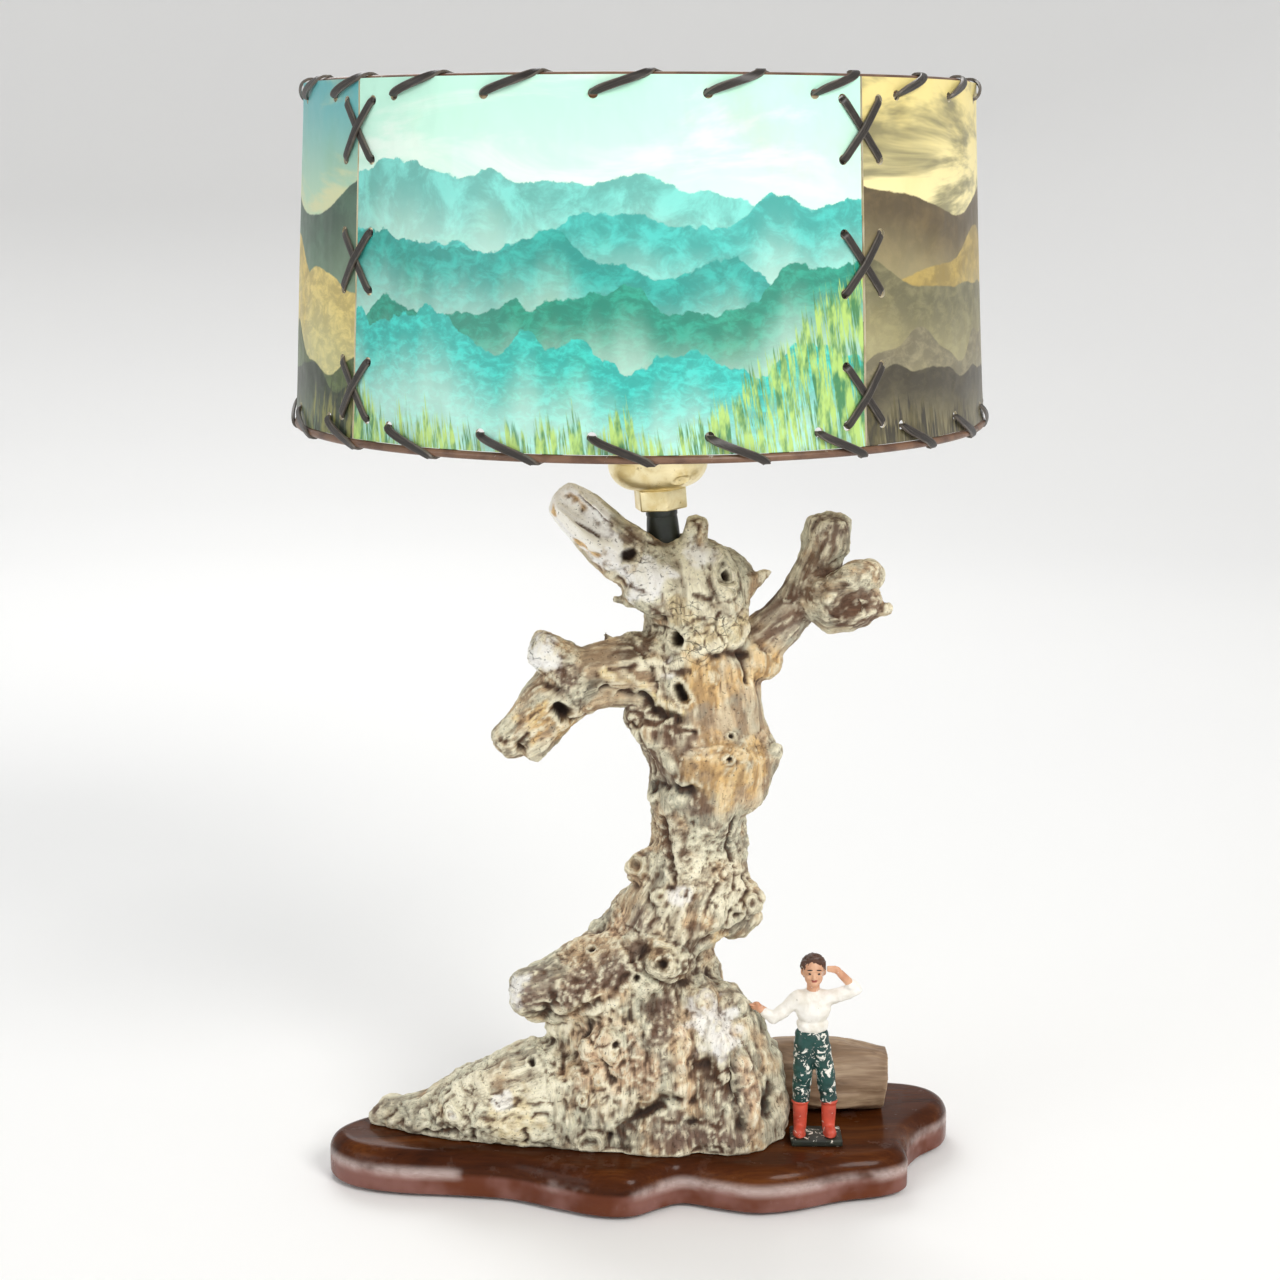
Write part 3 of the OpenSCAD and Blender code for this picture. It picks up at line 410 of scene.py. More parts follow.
@dataclass(frozen=True)
class Mahogany:
    """Red-brown board with its grain along X under a gloss varnish, with scuffs, a painted highlight along
    the rounded edge and patches of painted reflection on the side face.
    """

    dark: Colour = paint("2a1208")
    mid: Colour = paint("4a240e")
    light: Colour = paint("6c3c16")
    pore: Colour = paint("1c0805")
    side: Colour = paint("6a3a28")
    # Pale mauve of the painted reflection on the side face.
    pink_reflection: Colour = paint("90665e")
    # Painted highlight along the rounded edge, also the colour of the faint scuffs.
    highlight_and_scuffs: Colour = paint("dccac4")
    edge_top: float = 10.5

    def material(self) -> Material:
        """Makes the material."""
        s = Shader("mahogany")
        place = s.place()
        bend = s.noise(place, 9, 2.0)
        x, y, z = s.parts(place)
        figure = s.joined(x * 7, y * 70 + bend * 3.0, z * 70)
        broad = s.noise(figure, 1.0, 4.0, 0.6, 0.6)
        lines = s.noise(s.joined(x * 60, y * 1100 + bend * 25, z * 900), 1.0, 3.0, 0.6)
        pores = s.step(s.noise(s.joined(x * 130, y * 2200, z * 1500), 1.0, 2.0), 0.64, 0.74)
        colour = s.ramp(broad * 0.75 + lines * 0.25,
                        ((0.30, self.dark), (0.52, self.mid), (0.72, self.light)))
        colour = s.mix(pores * 0.6, colour, self.pore)
        # The side face, with patches of painted reflection.
        face = s.step(z, (self.edge_top + 1.5) * MM, (self.edge_top - 1) * MM)
        # Painted highlight: a band where the rounded edge turns down.
        edge = s.step(z, (self.edge_top - 3.5) * MM, (self.edge_top + 0.8) * MM)
        edge *= s.step(z, (self.edge_top + 4.5) * MM, (self.edge_top + 0.8) * MM)
        stretches = s.step(s.noise(place, 24, 4.0, 0.6), 0.44, 0.60)
        scuffs = s.step(s.noise(place, 120, 5.0, 0.65), 0.55, 0.72)
        cloud = s.noise(place, 38, 3.0)
        colour = s.mix(face * 0.75, colour, s.mix(s.step(cloud, 0.36, 0.62), self.side, self.pink_reflection))
        # Painted highlight in stretches along the band, and faint scuffs of wear.
        colour = s.mix(edge * stretches * (0.3 + lines * 0.45) + scuffs * 0.03, colour, self.highlight_and_scuffs)
        rough = 0.16 + cloud * 0.16 + scuffs * 0.14
        return s.dress(colour, rough, lines * 0.5 + cloud * 1.2, 0.12, Coat_Weight=0.09,
                       Coat_Roughness=0.1, Specular_IOR_Level=0.06)


@dataclass(frozen=True)
class Metal:
    """Bare metal with smudges and specks of tarnish."""

    name: str
    bright: Colour
    dull: Colour
    speck: Colour
    rough: float = 0.3
    specks: float = 0.5

    def material(self) -> Material:
        """Makes the material."""
        s = Shader(self.name)
        place = s.place()
        smudge = s.noise(place, 130, 4.0, 0.6, 0.5)
        fine = s.noise(place, 1500, 3.0, 0.6)
        spots = s.step(s.noise(place, 420, 5.0, 0.7), 0.60, 0.72)
        colour = s.mix(s.step(smudge, 0.38, 0.68), self.bright, self.dull)
        colour = s.mix(spots * self.specks, colour, self.speck)
        rough = smudge * 0.25 + spots * 0.2 + (self.rough - 0.12)
        return s.dress(colour, rough, fine * 0.6 + smudge, 0.05, Metallic=1.0)


@dataclass(frozen=True)
class Coating:
    """Paint, enamel or moulding over another stuff, with chips that show it."""

    name: str
    top: Colour
    shade: Colour
    under: Colour
    chips: float = 0.0
    chip_size: float = 260.0
    rough: float = 0.4
    grain_mm: float = 0.08

    def material(self) -> Material:
        """Makes the material."""
        s = Shader(self.name)
        place = s.place()
        broad = s.noise(place, 110, 4.0, 0.6, 0.4)
        fine = s.noise(place, 1300, 3.0, 0.6)
        flakes = s.noise(place, self.chip_size, 5.0, 0.62, 0.9)
        edge = 0.74 - 0.22 * self.chips
        if self.chips > 0:
            chipped = s.step(flakes, edge, edge + 0.03)
        else:
            chipped = s.step(flakes, 0.74, 0.80) * 0.25
        colour = s.mix(s.step(broad, 0.36, 0.66), self.top, self.shade)
        colour = s.mix(s.step(fine, 0.62, 0.74) * 0.25, colour, self.shade)
        colour = s.mix(chipped, colour, self.under)
        rough = chipped * 0.25 + broad * 0.2 + (self.rough - 0.1)
        return s.dress(colour, rough, fine * 0.5 + broad * 0.6 - chipped * 0.8, self.grain_mm)


@dataclass(frozen=True)
class Felt:
    """Short matted fibres."""

    dark: Colour = paint("1d2a1c")
    light: Colour = paint("445a3c")

    def material(self) -> Material:
        """Makes the material."""
        s = Shader("felt")
        place = s.place()
        fuzz = s.noise(place, 1600, 4.0, 0.7, 1.2)
        tufts = s.noise(place, 300, 3.0, 0.6)
        colour = s.ramp(fuzz * 0.65 + tufts * 0.35, ((0.32, self.dark), (0.66, self.light)))
        return s.dress(colour, 0.92 - fuzz * 0.08, fuzz, 0.5)


@dataclass(frozen=True)
class OpalGlass:
    """White frosted bulb glass, greyer towards its neck."""

    neck_z: float = 0.348
    white: Colour = paint("f3f1ea")
    grey: Colour = paint("c9c6bc")

    def material(self) -> Material:
        """Makes the material."""
        s = Shader("opal_glass")
        place = s.place()
        z = s.parts(place)[2]
        dust = s.noise(place, 240, 4.0, 0.6)
        colour = s.mix(s.step(z, self.neck_z + 0.012, self.neck_z - 0.004) * 0.6, self.white, self.grey)
        colour = s.mix(s.step(dust, 0.55, 0.75) * 0.15, colour, self.grey)
        return s.dress(colour, 0.2 + dust * 0.15, dust, 0.02, Coat_Weight=0.4)


@dataclass(frozen=True)
class Lace:
    """Flat dark plastic lace, its edges lighter grey from rubbing and a painted highlight."""

    dark: Colour = paint("1f1a16")
    light: Colour = paint("3c342d")
    rubbed_and_highlight: Colour = paint("736a60")

    def material(self) -> Material:
        """Makes the material."""
        s = Shader("plastic_lace")
        place = s.place()
        across = s.attribute("across")
        lengthwise = s.noise(s.joined(across * 3.5, s.attribute("along") * 90, 0.0), 1.0, 4.0, 0.6)
        wear = s.noise(place, 260, 4.0, 0.6)
        colour = s.mix(s.step(lengthwise, 0.4, 0.7), self.dark, self.light)
        # Lighter grey edges: rubbing and a painted highlight.
        colour = s.mix(s.step(abs(across) + wear * 0.7, 1.0, 1.4) * 0.6, colour, self.rubbed_and_highlight)
        return s.dress(colour, 0.28 + wear * 0.22, lengthwise, 0.12)


@dataclass(frozen=True)
class Parchment:
    """Plain fibrous sheet on the inside of the shade."""

    cream: Colour = paint("e6dcc0")
    tan: Colour = paint("cdb98f")

    def material(self) -> Material:
        """Makes the material."""
        s = Shader("parchment_back")
        place = s.place()
        stains = s.noise(place, 26, 5.0, 0.6, 0.6)
        fibres = s.noise(s.stretched(place, (500, 500, 160)), 1.0, 4.0, 0.65, 1.0)
        colour = s.mix(s.step(stains, 0.4, 0.72), self.cream, self.tan)
        colour = s.mix(s.step(fibres, 0.55, 0.7) * 0.3, colour, self.tan, "MULTIPLY")
        return s.dress(colour, 0.6 + fibres * 0.15, fibres, 0.12)


class Scene(Enum):
    """The two generic views that are printed on the shade."""

    MISTY_HILLS = "misty_hills"
    DUNES = "dunes"


@dataclass(frozen=True)
class Print:
    """An aged, varnished print of hills or dunes on a shade panel."""

    name: str
    scene: Scene
    start: float
    span: float
    low: float
    height: float
    seed: float
    sky: tuple[Colour, Colour, Colour]
    layers: tuple[Colour, ...]
    grass: tuple[Colour, Colour]
    mirrored: bool = False
    aged: Colour = paint("e8dba8")
    speck: Colour = paint("6b6a4c")
    grain: Colour = (0.55, 0.55, 0.55)

    def material(self) -> Material:
        """Makes the material."""
        s = Shader(self.name)
        x, y, z = s.parts(s.place())
        angle = s.out("ShaderNodeMath", {"operation": "ARCTAN2"}, {0: y, 1: x})
        u = ((angle - math.radians(self.start)) % (2 * math.pi)) / math.radians(self.span)
        if self.mirrored:
            u = 1 - u
        v = (z - self.low * MM) / (self.height * MM)
        colour = self.view(s, u, v)
        sheet = s.joined(u * 2, v, self.seed)
        age = s.noise(sheet, 3.0, 5.0, 0.6)
        colour = s.mix(s.step(age, 0.5, 0.8) * 0.3, colour, self.aged, "MULTIPLY")
        dots = s.noise(sheet, 260, 2.0, 0.5)
        colour = s.mix(s.step(dots, 0.3, 0.7) * 0.22, colour, self.grain, "OVERLAY")
        specks = s.step(s.noise(sheet, 70, 3.0, 0.6), 0.74, 0.80)
        colour = s.mix(specks * 0.35, colour, self.speck)
        ripple = s.noise(sheet, 7.0, 2.0)
        return s.dress(colour, 0.34 + age * 0.2, ripple * 4 + dots * 0.1, 0.3, Coat_Weight=0.15,
                       Coat_Roughness=0.3)

    def view(self, s: Shader, u: Value, v: Value) -> Value:
        """Lays the sky, the ridges and the grass over each other.

        Args:
            s: The shader.
            u: Place across the panel, from 0 to 1.
            v: Place up the panel, from 0 to 1.

        Returns:
            The colour.
        """
        hills = self.scene is Scene.MISTY_HILLS
        clouds = s.noise(s.joined(u * 2.6, v * 5.5, self.seed), 1.0, 5.0, 0.58, 0.5)
        colour = s.mix(s.step(v, 0.55, 1.0), self.sky[1], self.sky[0])
        banks = s.step(clouds, 0.50, 0.66) if hills else s.step(clouds, 0.46, 0.60)
        colour = s.mix(banks * (0.7 if hills else 0.85), colour, self.sky[2])
        tops = (0.70, 0.60, 0.50, 0.40, 0.27) if hills else (0.66, 0.52, 0.40, 0.28, 0.14)
        for i, (top, layer) in enumerate(zip(tops, self.layers)):
            pace = 2.2 + 0.8 * i
            wave = s.line_noise(u * pace + self.seed * 3.1 + 7.3 * i, 4.0 if hills else 1.0, 0.5)
            lean = (u - 0.5) * (0.12 if i % 2 else -0.14)
            ridge = wave * 0.30 + lean + (top - 0.15)
            rough = s.noise(s.joined(u * 46, v * 30, self.seed + i), 1.0, 4.0, 0.65) * 0.035
            depth = ridge + rough * (1.0 if hills else 0.35) - v
            spot = s.joined(u * (14 + 6 * i), v * (9 + 7 * i), self.seed - i)
            body = s.noise(spot, 1.0, 5.0, 0.68, 0.4)
            lit = s.mix(s.step(body, 0.40, 0.66), tuple(0.62 * c for c in layer), layer)
            mist = s.step(depth, 0.03, 0.26)
            lit = s.mix(mist * (0.55 if hills else 0.25), lit, self.sky[1])
            colour = s.mix(s.step(depth, 0.0, 0.006), colour, lit)
        blades = s.noise(s.joined(u * 150 + v * 14, v * 4.5, self.seed), 1.0, 3.0, 0.7, 0.3)
        reach = s.line_noise(u * 9 + self.seed, 3.0) * 0.26
        side = s.step(u, 0.62, 1.02) * 0.42 + s.step(u, 0.2, 0.0) * 0.08
        tips = reach + side - 0.06 - v + (blades - 0.5) * 0.34
        mask = s.step(tips, 0.0, 0.05) * s.step(blades, 0.40, 0.50)
        hue = s.noise(s.joined(u * 60, v * 12, self.seed + 9), 1.0, 3.0, 0.6)
        return s.mix(mask * 0.92, colour, s.mix(s.step(hue, 0.38, 0.64), self.grass[0], self.grass[1]))


# Modelling


def deselect() -> None:
    """Leaves edit mode and deselects everything."""
    if bpy.context.object is not None and bpy.context.object.mode != "OBJECT":
        bpy.ops.object.mode_set(mode="OBJECT")
    bpy.ops.object.select_all(action="DESELECT")


def pick(piece: Piece) -> None:
    """Selects one piece alone and makes it the active one."""
    deselect()
    piece.select_set(True)
    bpy.context.view_layer.objects.active = piece


@contextmanager
def all_in_edit(piece: Piece) -> Iterator[None]:
    """Holds a piece in edit mode with all of its mesh selected."""
    pick(piece)
    bpy.ops.object.mode_set(mode="EDIT")
    bpy.ops.mesh.select_all(action="SELECT")
    yield
    bpy.ops.object.mode_set(mode="OBJECT")


def named(name: str) -> Piece:
    """Names the piece that was just added, and puts its place into its mesh.

    Args:
        name: The new name.

    Returns:
        The piece.
    """
    piece = bpy.context.object
    piece.name = name
    piece.data.name = name
    bpy.ops.object.transform_apply(location=True, rotation=True, scale=True)
    return piece


def shape(piece: Piece, kind: str, **settings: object) -> Piece:
    """Adds a modifier to a piece and applies it.

    Args:
        piece: The piece.
        kind: The modifier's type.
        settings: Its properties.

    Returns:
        The piece.
    """
    pick(piece)
    modifier = piece.modifiers.new(kind.lower(), kind)
    for key, value in settings.items():
        setattr(modifier, key, value)
    bpy.ops.object.modifier_apply(modifier=modifier.name)
    return piece


def join(pieces: Sequence[Piece]) -> Piece:
    """Joins pieces into the first one."""
    deselect()
    for piece in pieces:
        piece.select_set(True)
    bpy.context.view_layer.objects.active = pieces[0]
    if len(pieces) > 1:
        bpy.ops.object.join()
    return pieces[0]


def points_of(piece: Piece) -> Array:
    """Reads a piece's points, in millimetres."""
    flat = np.empty(len(piece.data.vertices) * 3)
    piece.data.vertices.foreach_get("co", flat)
    return flat.reshape(-1, 3) / MM


def move_points(piece: Piece, points: Array) -> None:
    """Puts a piece's points at new places, in millimetres."""
    piece.data.vertices.foreach_set("co", (points * MM).ravel())
    piece.data.update()


def normals_of(piece: Piece) -> Array:
    """Reads the outward directions at a piece's points."""
    flat = np.empty(len(piece.data.vertices) * 3)
    piece.data.vertex_normals.foreach_get("vector", flat)
    return flat.reshape(-1, 3)


def edges_of(piece: Piece) -> Array:
    """Reads the point pairs of a piece's edges."""
    flat = np.empty(len(piece.data.edges) * 2, dtype=np.int32)
    piece.data.edges.foreach_get("vertices", flat)
    return flat.reshape(-1, 2)


def smoothed(edges: Array, values: Array, rounds: int) -> Array:
    """Averages values with those of neighbouring points.

    Args:
        edges: Point pairs.
        values: One row for each point.
        rounds: How often.

    Returns:
        The smoothed rows.
    """
    ends = np.concatenate([edges[:, 0], edges[:, 1]])
    others = np.concatenate([edges[:, 1], edges[:, 0]])
    order = np.argsort(ends, kind="stable")
    starts = np.searchsorted(ends[order], np.arange(len(values)))
    others = others[order]
    degree = np.diff(np.append(starts, len(ends)))[:, None]
    for _ in range(rounds):
        values = 0.5 * values + 0.5 * np.add.reduceat(values[others], starts, axis=0) / degree
    return values


def keep_attribute(piece: Piece, name: str, kind: str, values: Array) -> None:
    """Stores numbers at a piece's points for its material.

    Args:
        piece: The piece.
        name: The attribute's name.
        kind: FLOAT, FLOAT_VECTOR or FLOAT_COLOR.
        values: One row for each point.
    """
    slot = {"FLOAT": "value", "FLOAT_VECTOR": "vector", "FLOAT_COLOR": "color"}[kind]
    layer = piece.data.attributes.new(name, kind, "POINT")
    layer.data.foreach_set(slot, np.ascontiguousarray(values, dtype=np.float32).ravel())


def copy_of(node: str, name: str) -> Piece:
    """Copies a CAD node into a new piece and merges its loose triangles.

    Args:
        node: The node's name.
        name: The new piece's name.

    Returns:
        The piece.
    """
    piece = bpy.data.objects.new(name, frame["nodes"][node].data.copy())
    piece.data.name = name
    piece.data.materials.clear()
    bpy.context.scene.collection.objects.link(piece)
    with all_in_edit(piece):
        bpy.ops.mesh.remove_doubles(threshold=0.02 * MM)
        bpy.ops.mesh.customdata_custom_splitnormals_clear()
    return piece


def recalculate(piece: Piece, merge_mm: float = 0.01) -> None:
    """Merges doubles and turns all faces outwards."""
    with all_in_edit(piece):
        bpy.ops.mesh.remove_doubles(threshold=merge_mm * MM)
        bpy.ops.mesh.normals_make_consistent(inside=False)


def shade_smooth(piece: Piece, angle: float | None = None) -> None:
    """Shades a piece smooth, all over or where its faces meet below an angle in degrees."""
    pick(piece)
    if angle is None:
        bpy.ops.object.shade_smooth()
    else:
        bpy.ops.object.shade_smooth_by_angle(angle=math.radians(angle))


def wear(piece: Piece, *materials: Material) -> None:
    """Gives a piece its materials in place of any others."""
    piece.data.materials.clear()
    for material in materials:
        piece.data.materials.append(material)


def seat(piece: Piece, body: str, slot: str, *nodes: str) -> None:
    """Makes a piece ride on a body and stand for CAD nodes, which it hides.

    Args:
        piece: The piece.
        body: The body's name.
        slot: Not used.
        nodes: The CAD nodes that it stands for.
    """
    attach(piece, body)
    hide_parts(*nodes)
    LOG.info("%s: %d faces, for %s", piece.name, len(piece.data.polygons), ", ".join(nodes))


def rise(value: Array, low: float, high: float) -> Array:
    """Rises smoothly from 0 at low to 1 at high."""
    t = np.clip((value - low) / (high - low), 0, 1)
    return t * t * (3 - 2 * t)


def cloud(points: Array, reach: float, octaves: int = 2, shift: float = 0.0) -> Array:
    """Reads fractal noise at points.

    Args:
        points: The points, in millimetres.
        reach: Size of the largest waves, in millimetres.
        octaves: Number of finer waves.
        shift: Moves the pattern, to get another one.

    Returns:
        One number for each point, about -1 to 1.
    """
    rows = (points / reach + shift).tolist()
    return np.fromiter((noise.fractal(row, 1.0, 2.0, octaves) for row in rows), float, len(rows))


def unit(rows: Array) -> Array:
    """Gives rows of vectors the length 1."""
    return rows / np.maximum(np.linalg.norm(rows, axis=-1, keepdims=True), 1e-9)


def along_loop(stations: Array, steps: int) -> Array:
    """Runs a smooth closed curve through stations.

    Args:
        stations: The points that it passes through.
        steps: Points for each stretch.

    Returns:
        The curve's points.
    """
    t = np.linspace(0, 1, steps, endpoint=False)[:, None]
    rows = []
    for i in range(len(stations)):
        p, q, r, s = (stations[(i + k) % len(stations)] for k in (-1, 0, 1, 2))
        rows.append(0.5 * (2 * q + (r - p) * t + (2 * p - 5 * q + 4 * r - s) * t ** 2
                           + (3 * q - p - 3 * r + s) * t ** 3))
    return np.concatenate(rows)


def lathe(name: str, profile: Array, steps: int) -> Piece:
    """Turns a closed half section about the Z axis.

    Args:
        name: The piece's name.
        profile: Radius and height of the section's points, in order round it.
        steps: Steps in a full turn.

    Returns:
        The piece.
    """
    deselect()
    bpy.ops.mesh.primitive_circle_add(vertices=len(profile), radius=1.0)
    piece = named(name)
    move_points(piece, np.column_stack([profile[:, 0], np.zeros(len(profile)), profile[:, 1]]))
    shape(piece, "SCREW", angle=2 * math.pi, steps=steps, render_steps=steps, axis="Z",
          use_merge_vertices=True, merge_threshold=0.005 * MM)
    recalculate(piece)
    return piece


# Lamp base


@dataclass
class BaseBoard:
    """The wavy mahogany board and the felt under it."""

    felt: float = 1.5
    thickness: float = 18.0
    top_round: float = 6.5
    top_fall: float = 8.45
    low_round: float = 1.4
    steps: int = 8
    edge: tuple[tuple[float, float], ...] = (
        (-129, -2), (-126, -14), (-116, -23), (-98, -28.5), (-74, -31), (-52, -34.5), (-33, -43),
        (-17, -49.5), (-3, -50), (9, -42), (18, -38), (32, -43), (47, -47), (63, -44), (82, -36),
        (99, -31.5), (109, -24), (111, -8), (118, 6), (129, 18), (132, 34), (122, 46), (102, 50), (72, 51),
        (36, 57), (-4, 60), (-44, 53), (-78, 38), (-104, 20), (-120, 10))

    def build(self) -> None:
        """Makes the board and dresses the board and the felt."""
        outline = along_loop(np.array(self.edge, float), self.steps)
        profile = self._profile()
        deselect()
        bpy.ops.mesh.primitive_circle_add(vertices=len(outline), radius=1.0, fill_type="NGON")
        board = named("mahogany_board")
        with all_in_edit(board):
            for _ in profile[1:]:
                bpy.ops.mesh.extrude_region_move(TRANSFORM_OT_translate={"value": (0, 0, 1)})
        drum = points_of(board) * MM
        level = np.rint(drum[:, 2]).astype(int)
        turn = np.arctan2(drum[:, 1], drum[:, 0]) / (2 * math.pi) * len(outline)
        rings = np.stack([self._drawn_in(outline, inset) for inset, _ in profile])
        heights = np.array([self.felt + height for _, height in profile])
        flat = rings[level, np.rint(turn).astype(int) % len(outline)]
        move_points(board, np.column_stack([flat, heights[level]]))
        recalculate(board, 0.02)
        shade_smooth(board, 40)
        wear(board, Mahogany().material())
        seat(board, "stand", "mahogany", "base_board")
        wear(frame["nodes"]["felt_pad"], Felt().material())

    def _profile(self) -> list[tuple[float, float]]:
        """Lists the insets and heights of the edge, from the underside to the top."""
        low = [(self.low_round * (1 - math.sin(a)), self.low_round * (1 - math.cos(a)))
               for a in np.linspace(0, math.pi / 2, 5)]
        high = [(self.top_round * (1 - math.cos(a)), self.thickness - self.top_fall * (1 - math.sin(a)))
                for a in np.linspace(0, math.pi / 2, 11)]
        return low + high

    def _drawn_in(self, outline: Array, inset: float) -> Array:
        """Draws the outline in along its own normals, smoother the further in it lies.

        Args:
            outline: The outline's points.
            inset: How far in.

        Returns:
            The inner outline.
        """
        way = unit(np.roll(outline, -1, 0) - np.roll(outline, 1, 0))
        inner = outline + inset * np.column_stack([-way[:, 1], way[:, 0]])
        for _ in range(int(3 * inset)):
            inner = 0.25 * np.roll(inner, 1, 0) + 0.5 * inner + 0.25 * np.roll(inner, -1, 0)
        return inner


# Driftwood


class Tone(Enum):
    """The wood's colours, as they are seen."""

    GREY = "aeac99"
    PALE = "d8d6bd"
    CREAM = "efe8cc"
    STRAW = "e6d2a2"
    TAN = "bfa584"
    PINK = "d6b594"
    OCHRE = "deb576"
    BROWN = "5a402f"
    MAUVE = "6c564a"
    DARK = "2a1f19"
    WHITE = "fbfaf6"

    def light(self) -> Array:
        """Gives the linear colour."""
        return np.array(paint(self.value))


Spot = tuple[int, int]


@dataclass(frozen=True)
class Stain:
    """A tone laid ragged round places: across, up and how far it reaches."""

    tone: Tone
    share: float
    places: tuple[tuple[int, int, int], ...]
    back: bool = False


@dataclass(frozen=True)
class Stroke:
    """Crests along lines across and up the wood, or furrows where the height is below zero."""

    tone: Tone
    width: float
    height: float
    share: float
    lines: tuple[tuple[Spot, ...], ...]
    back: bool = False


@dataclass(frozen=True)
class Knot:
    """A ringed knot, with a raised rim and a sunk heart."""

    spot: Spot
    reach: float
    height: float
    heart: Tone = Tone.BROWN
    back: bool = False


@dataclass(frozen=True)
class Pit:
    """A hole in the wood, round one place or long between two, with a slight rim."""

    spots: tuple[Spot, ...]
    reach: float
    depth: float
    rim: float = 0.5
    back: bool = False


Placed = list[tuple[Knot, Array]]


@dataclass(frozen=True)
class Strand:
    """A straight run of the wood's fibres, with the limb's rough radius."""

    start: Point
    end: Point
    radius: float


STAINS = (
    Stain(Tone.PALE, 0.85, (
        (-60, 40, 40), (20, 250, 26), (16, 257, 11), (27, 251, 9), (-12, 223, 8), (-54, 195, 5),
        (27, 146, 9), (4, 90, 8), (-20, 220, 8))),
    Stain(Tone.TAN, 0.85, (
        (-18, 223, 12), (33, 200, 10), (5, 145, 10), (-19, 104, 11), (-26, 102, 8), (21, 39, 5),
        (45, 27, 6), (-58, 49, 7))),
    Stain(Tone.GREY, 0.85, (
        (8, 267, 7), (33, 260, 5), (37, 251, 4), (-24, 209, 6), (54, 184, 4), (88, 252, 7), (10, 166, 6),
        (6, 138, 6), (44, 60, 8), (-23, 31, 8), (54, 27, 7), (30, 21, 5), (-111, 25, 7), (-95, 32, 10),
        (-44, 61, 9), (-74, 44, 9))),
    Stain(Tone.CREAM, 0.75, (
        (20, 252, 13), (28, 243, 9), (22, 134, 8), (11, 117, 7), (37, 126, 11), (-7, 41, 9),
        (-45, 48, 11), (-68, 44, 9))),
    Stain(Tone.STRAW, 0.7, ((13, 242, 7), (41, 233, 7), (26, 232, 8), (-53, 31, 11))),
    Stain(Tone.OCHRE, 0.75, (
        (-22, 266, 5), (-30, 292, 4), (-41, 198, 7), (-29, 194, 6), (28, 214, 12), (33, 177, 14),
        (48, 182, 9), (50, 220, 9), (33, 104, 5))),
    Stain(Tone.PINK, 0.8, ((-19, 60, 12), (-6, 56, 12), (-9, 111, 6), (46, 44, 5))),
    Stain(Tone.MAUVE, 0.85, (
        (6, 241, 5), (-29, 218, 7), (8, 195, 9), (-2, 196, 7), (56, 238, 12), (84, 240, 9), (92, 236, 8),
        (74, 274, 8), (21, 163, 7), (1, 116, 7), (-11, 96, 7), (-24, 92, 8), (-39, 86, 9), (-45, 82, 7),
        (38, 46, 9), (15, 29, 10), (9, 78, 7), (8, 70, 5), (27, 27, 10), (37, 30, 9), (-114, 23, 5))),
    Stain(Tone.BROWN, 0.85, (
        (-3, 273, 5), (4, 180, 13), (-2, 227, 9), (68, 252, 12), (80, 241, 8), (12, 150, 7),
        (30, 154, 3), (35, 150, 3), (18, 144, 3), (22, 113, 4), (22, 104, 4), (14, 90, 6), (21, 98, 5),
        (30, 56, 9), (37, 83, 4), (39, 38, 7), (24, 46, 6))),
    Stain(Tone.WHITE, 1.0, (
        (2, 256, 9), (-41, 226, 9), (-31, 286, 13), (-24, 279, 13), (-17, 272, 11), (-10, 268, 6))),
    Stain(Tone.WHITE, 0.8, (
        (25, 265, 6), (11, 219, 4), (15, 126, 5), (-51, 88, 6), (-52, 82, 5), (28, 74, 11), (35, 69, 9),
        (-57, 41, 4))),
    # Dark patches over the gouges and furrows: painted shade there.
    Stain(Tone.DARK, 0.75, (
        (-17, 212, 5), (-48, 190, 3), (5, 169, 4), (-39, 77, 5), (-5, 29, 7), (-81, 25, 5),
        (-13, 233, 3))),
    Stain(Tone.PALE, 0.7, ((22, 140, 20), (30, 50, 20)), True),
    Stain(Tone.OCHRE, 0.5, ((20, 205, 22),), True),
    Stain(Tone.BROWN, 0.5, ((0, 70, 26),), True),
)
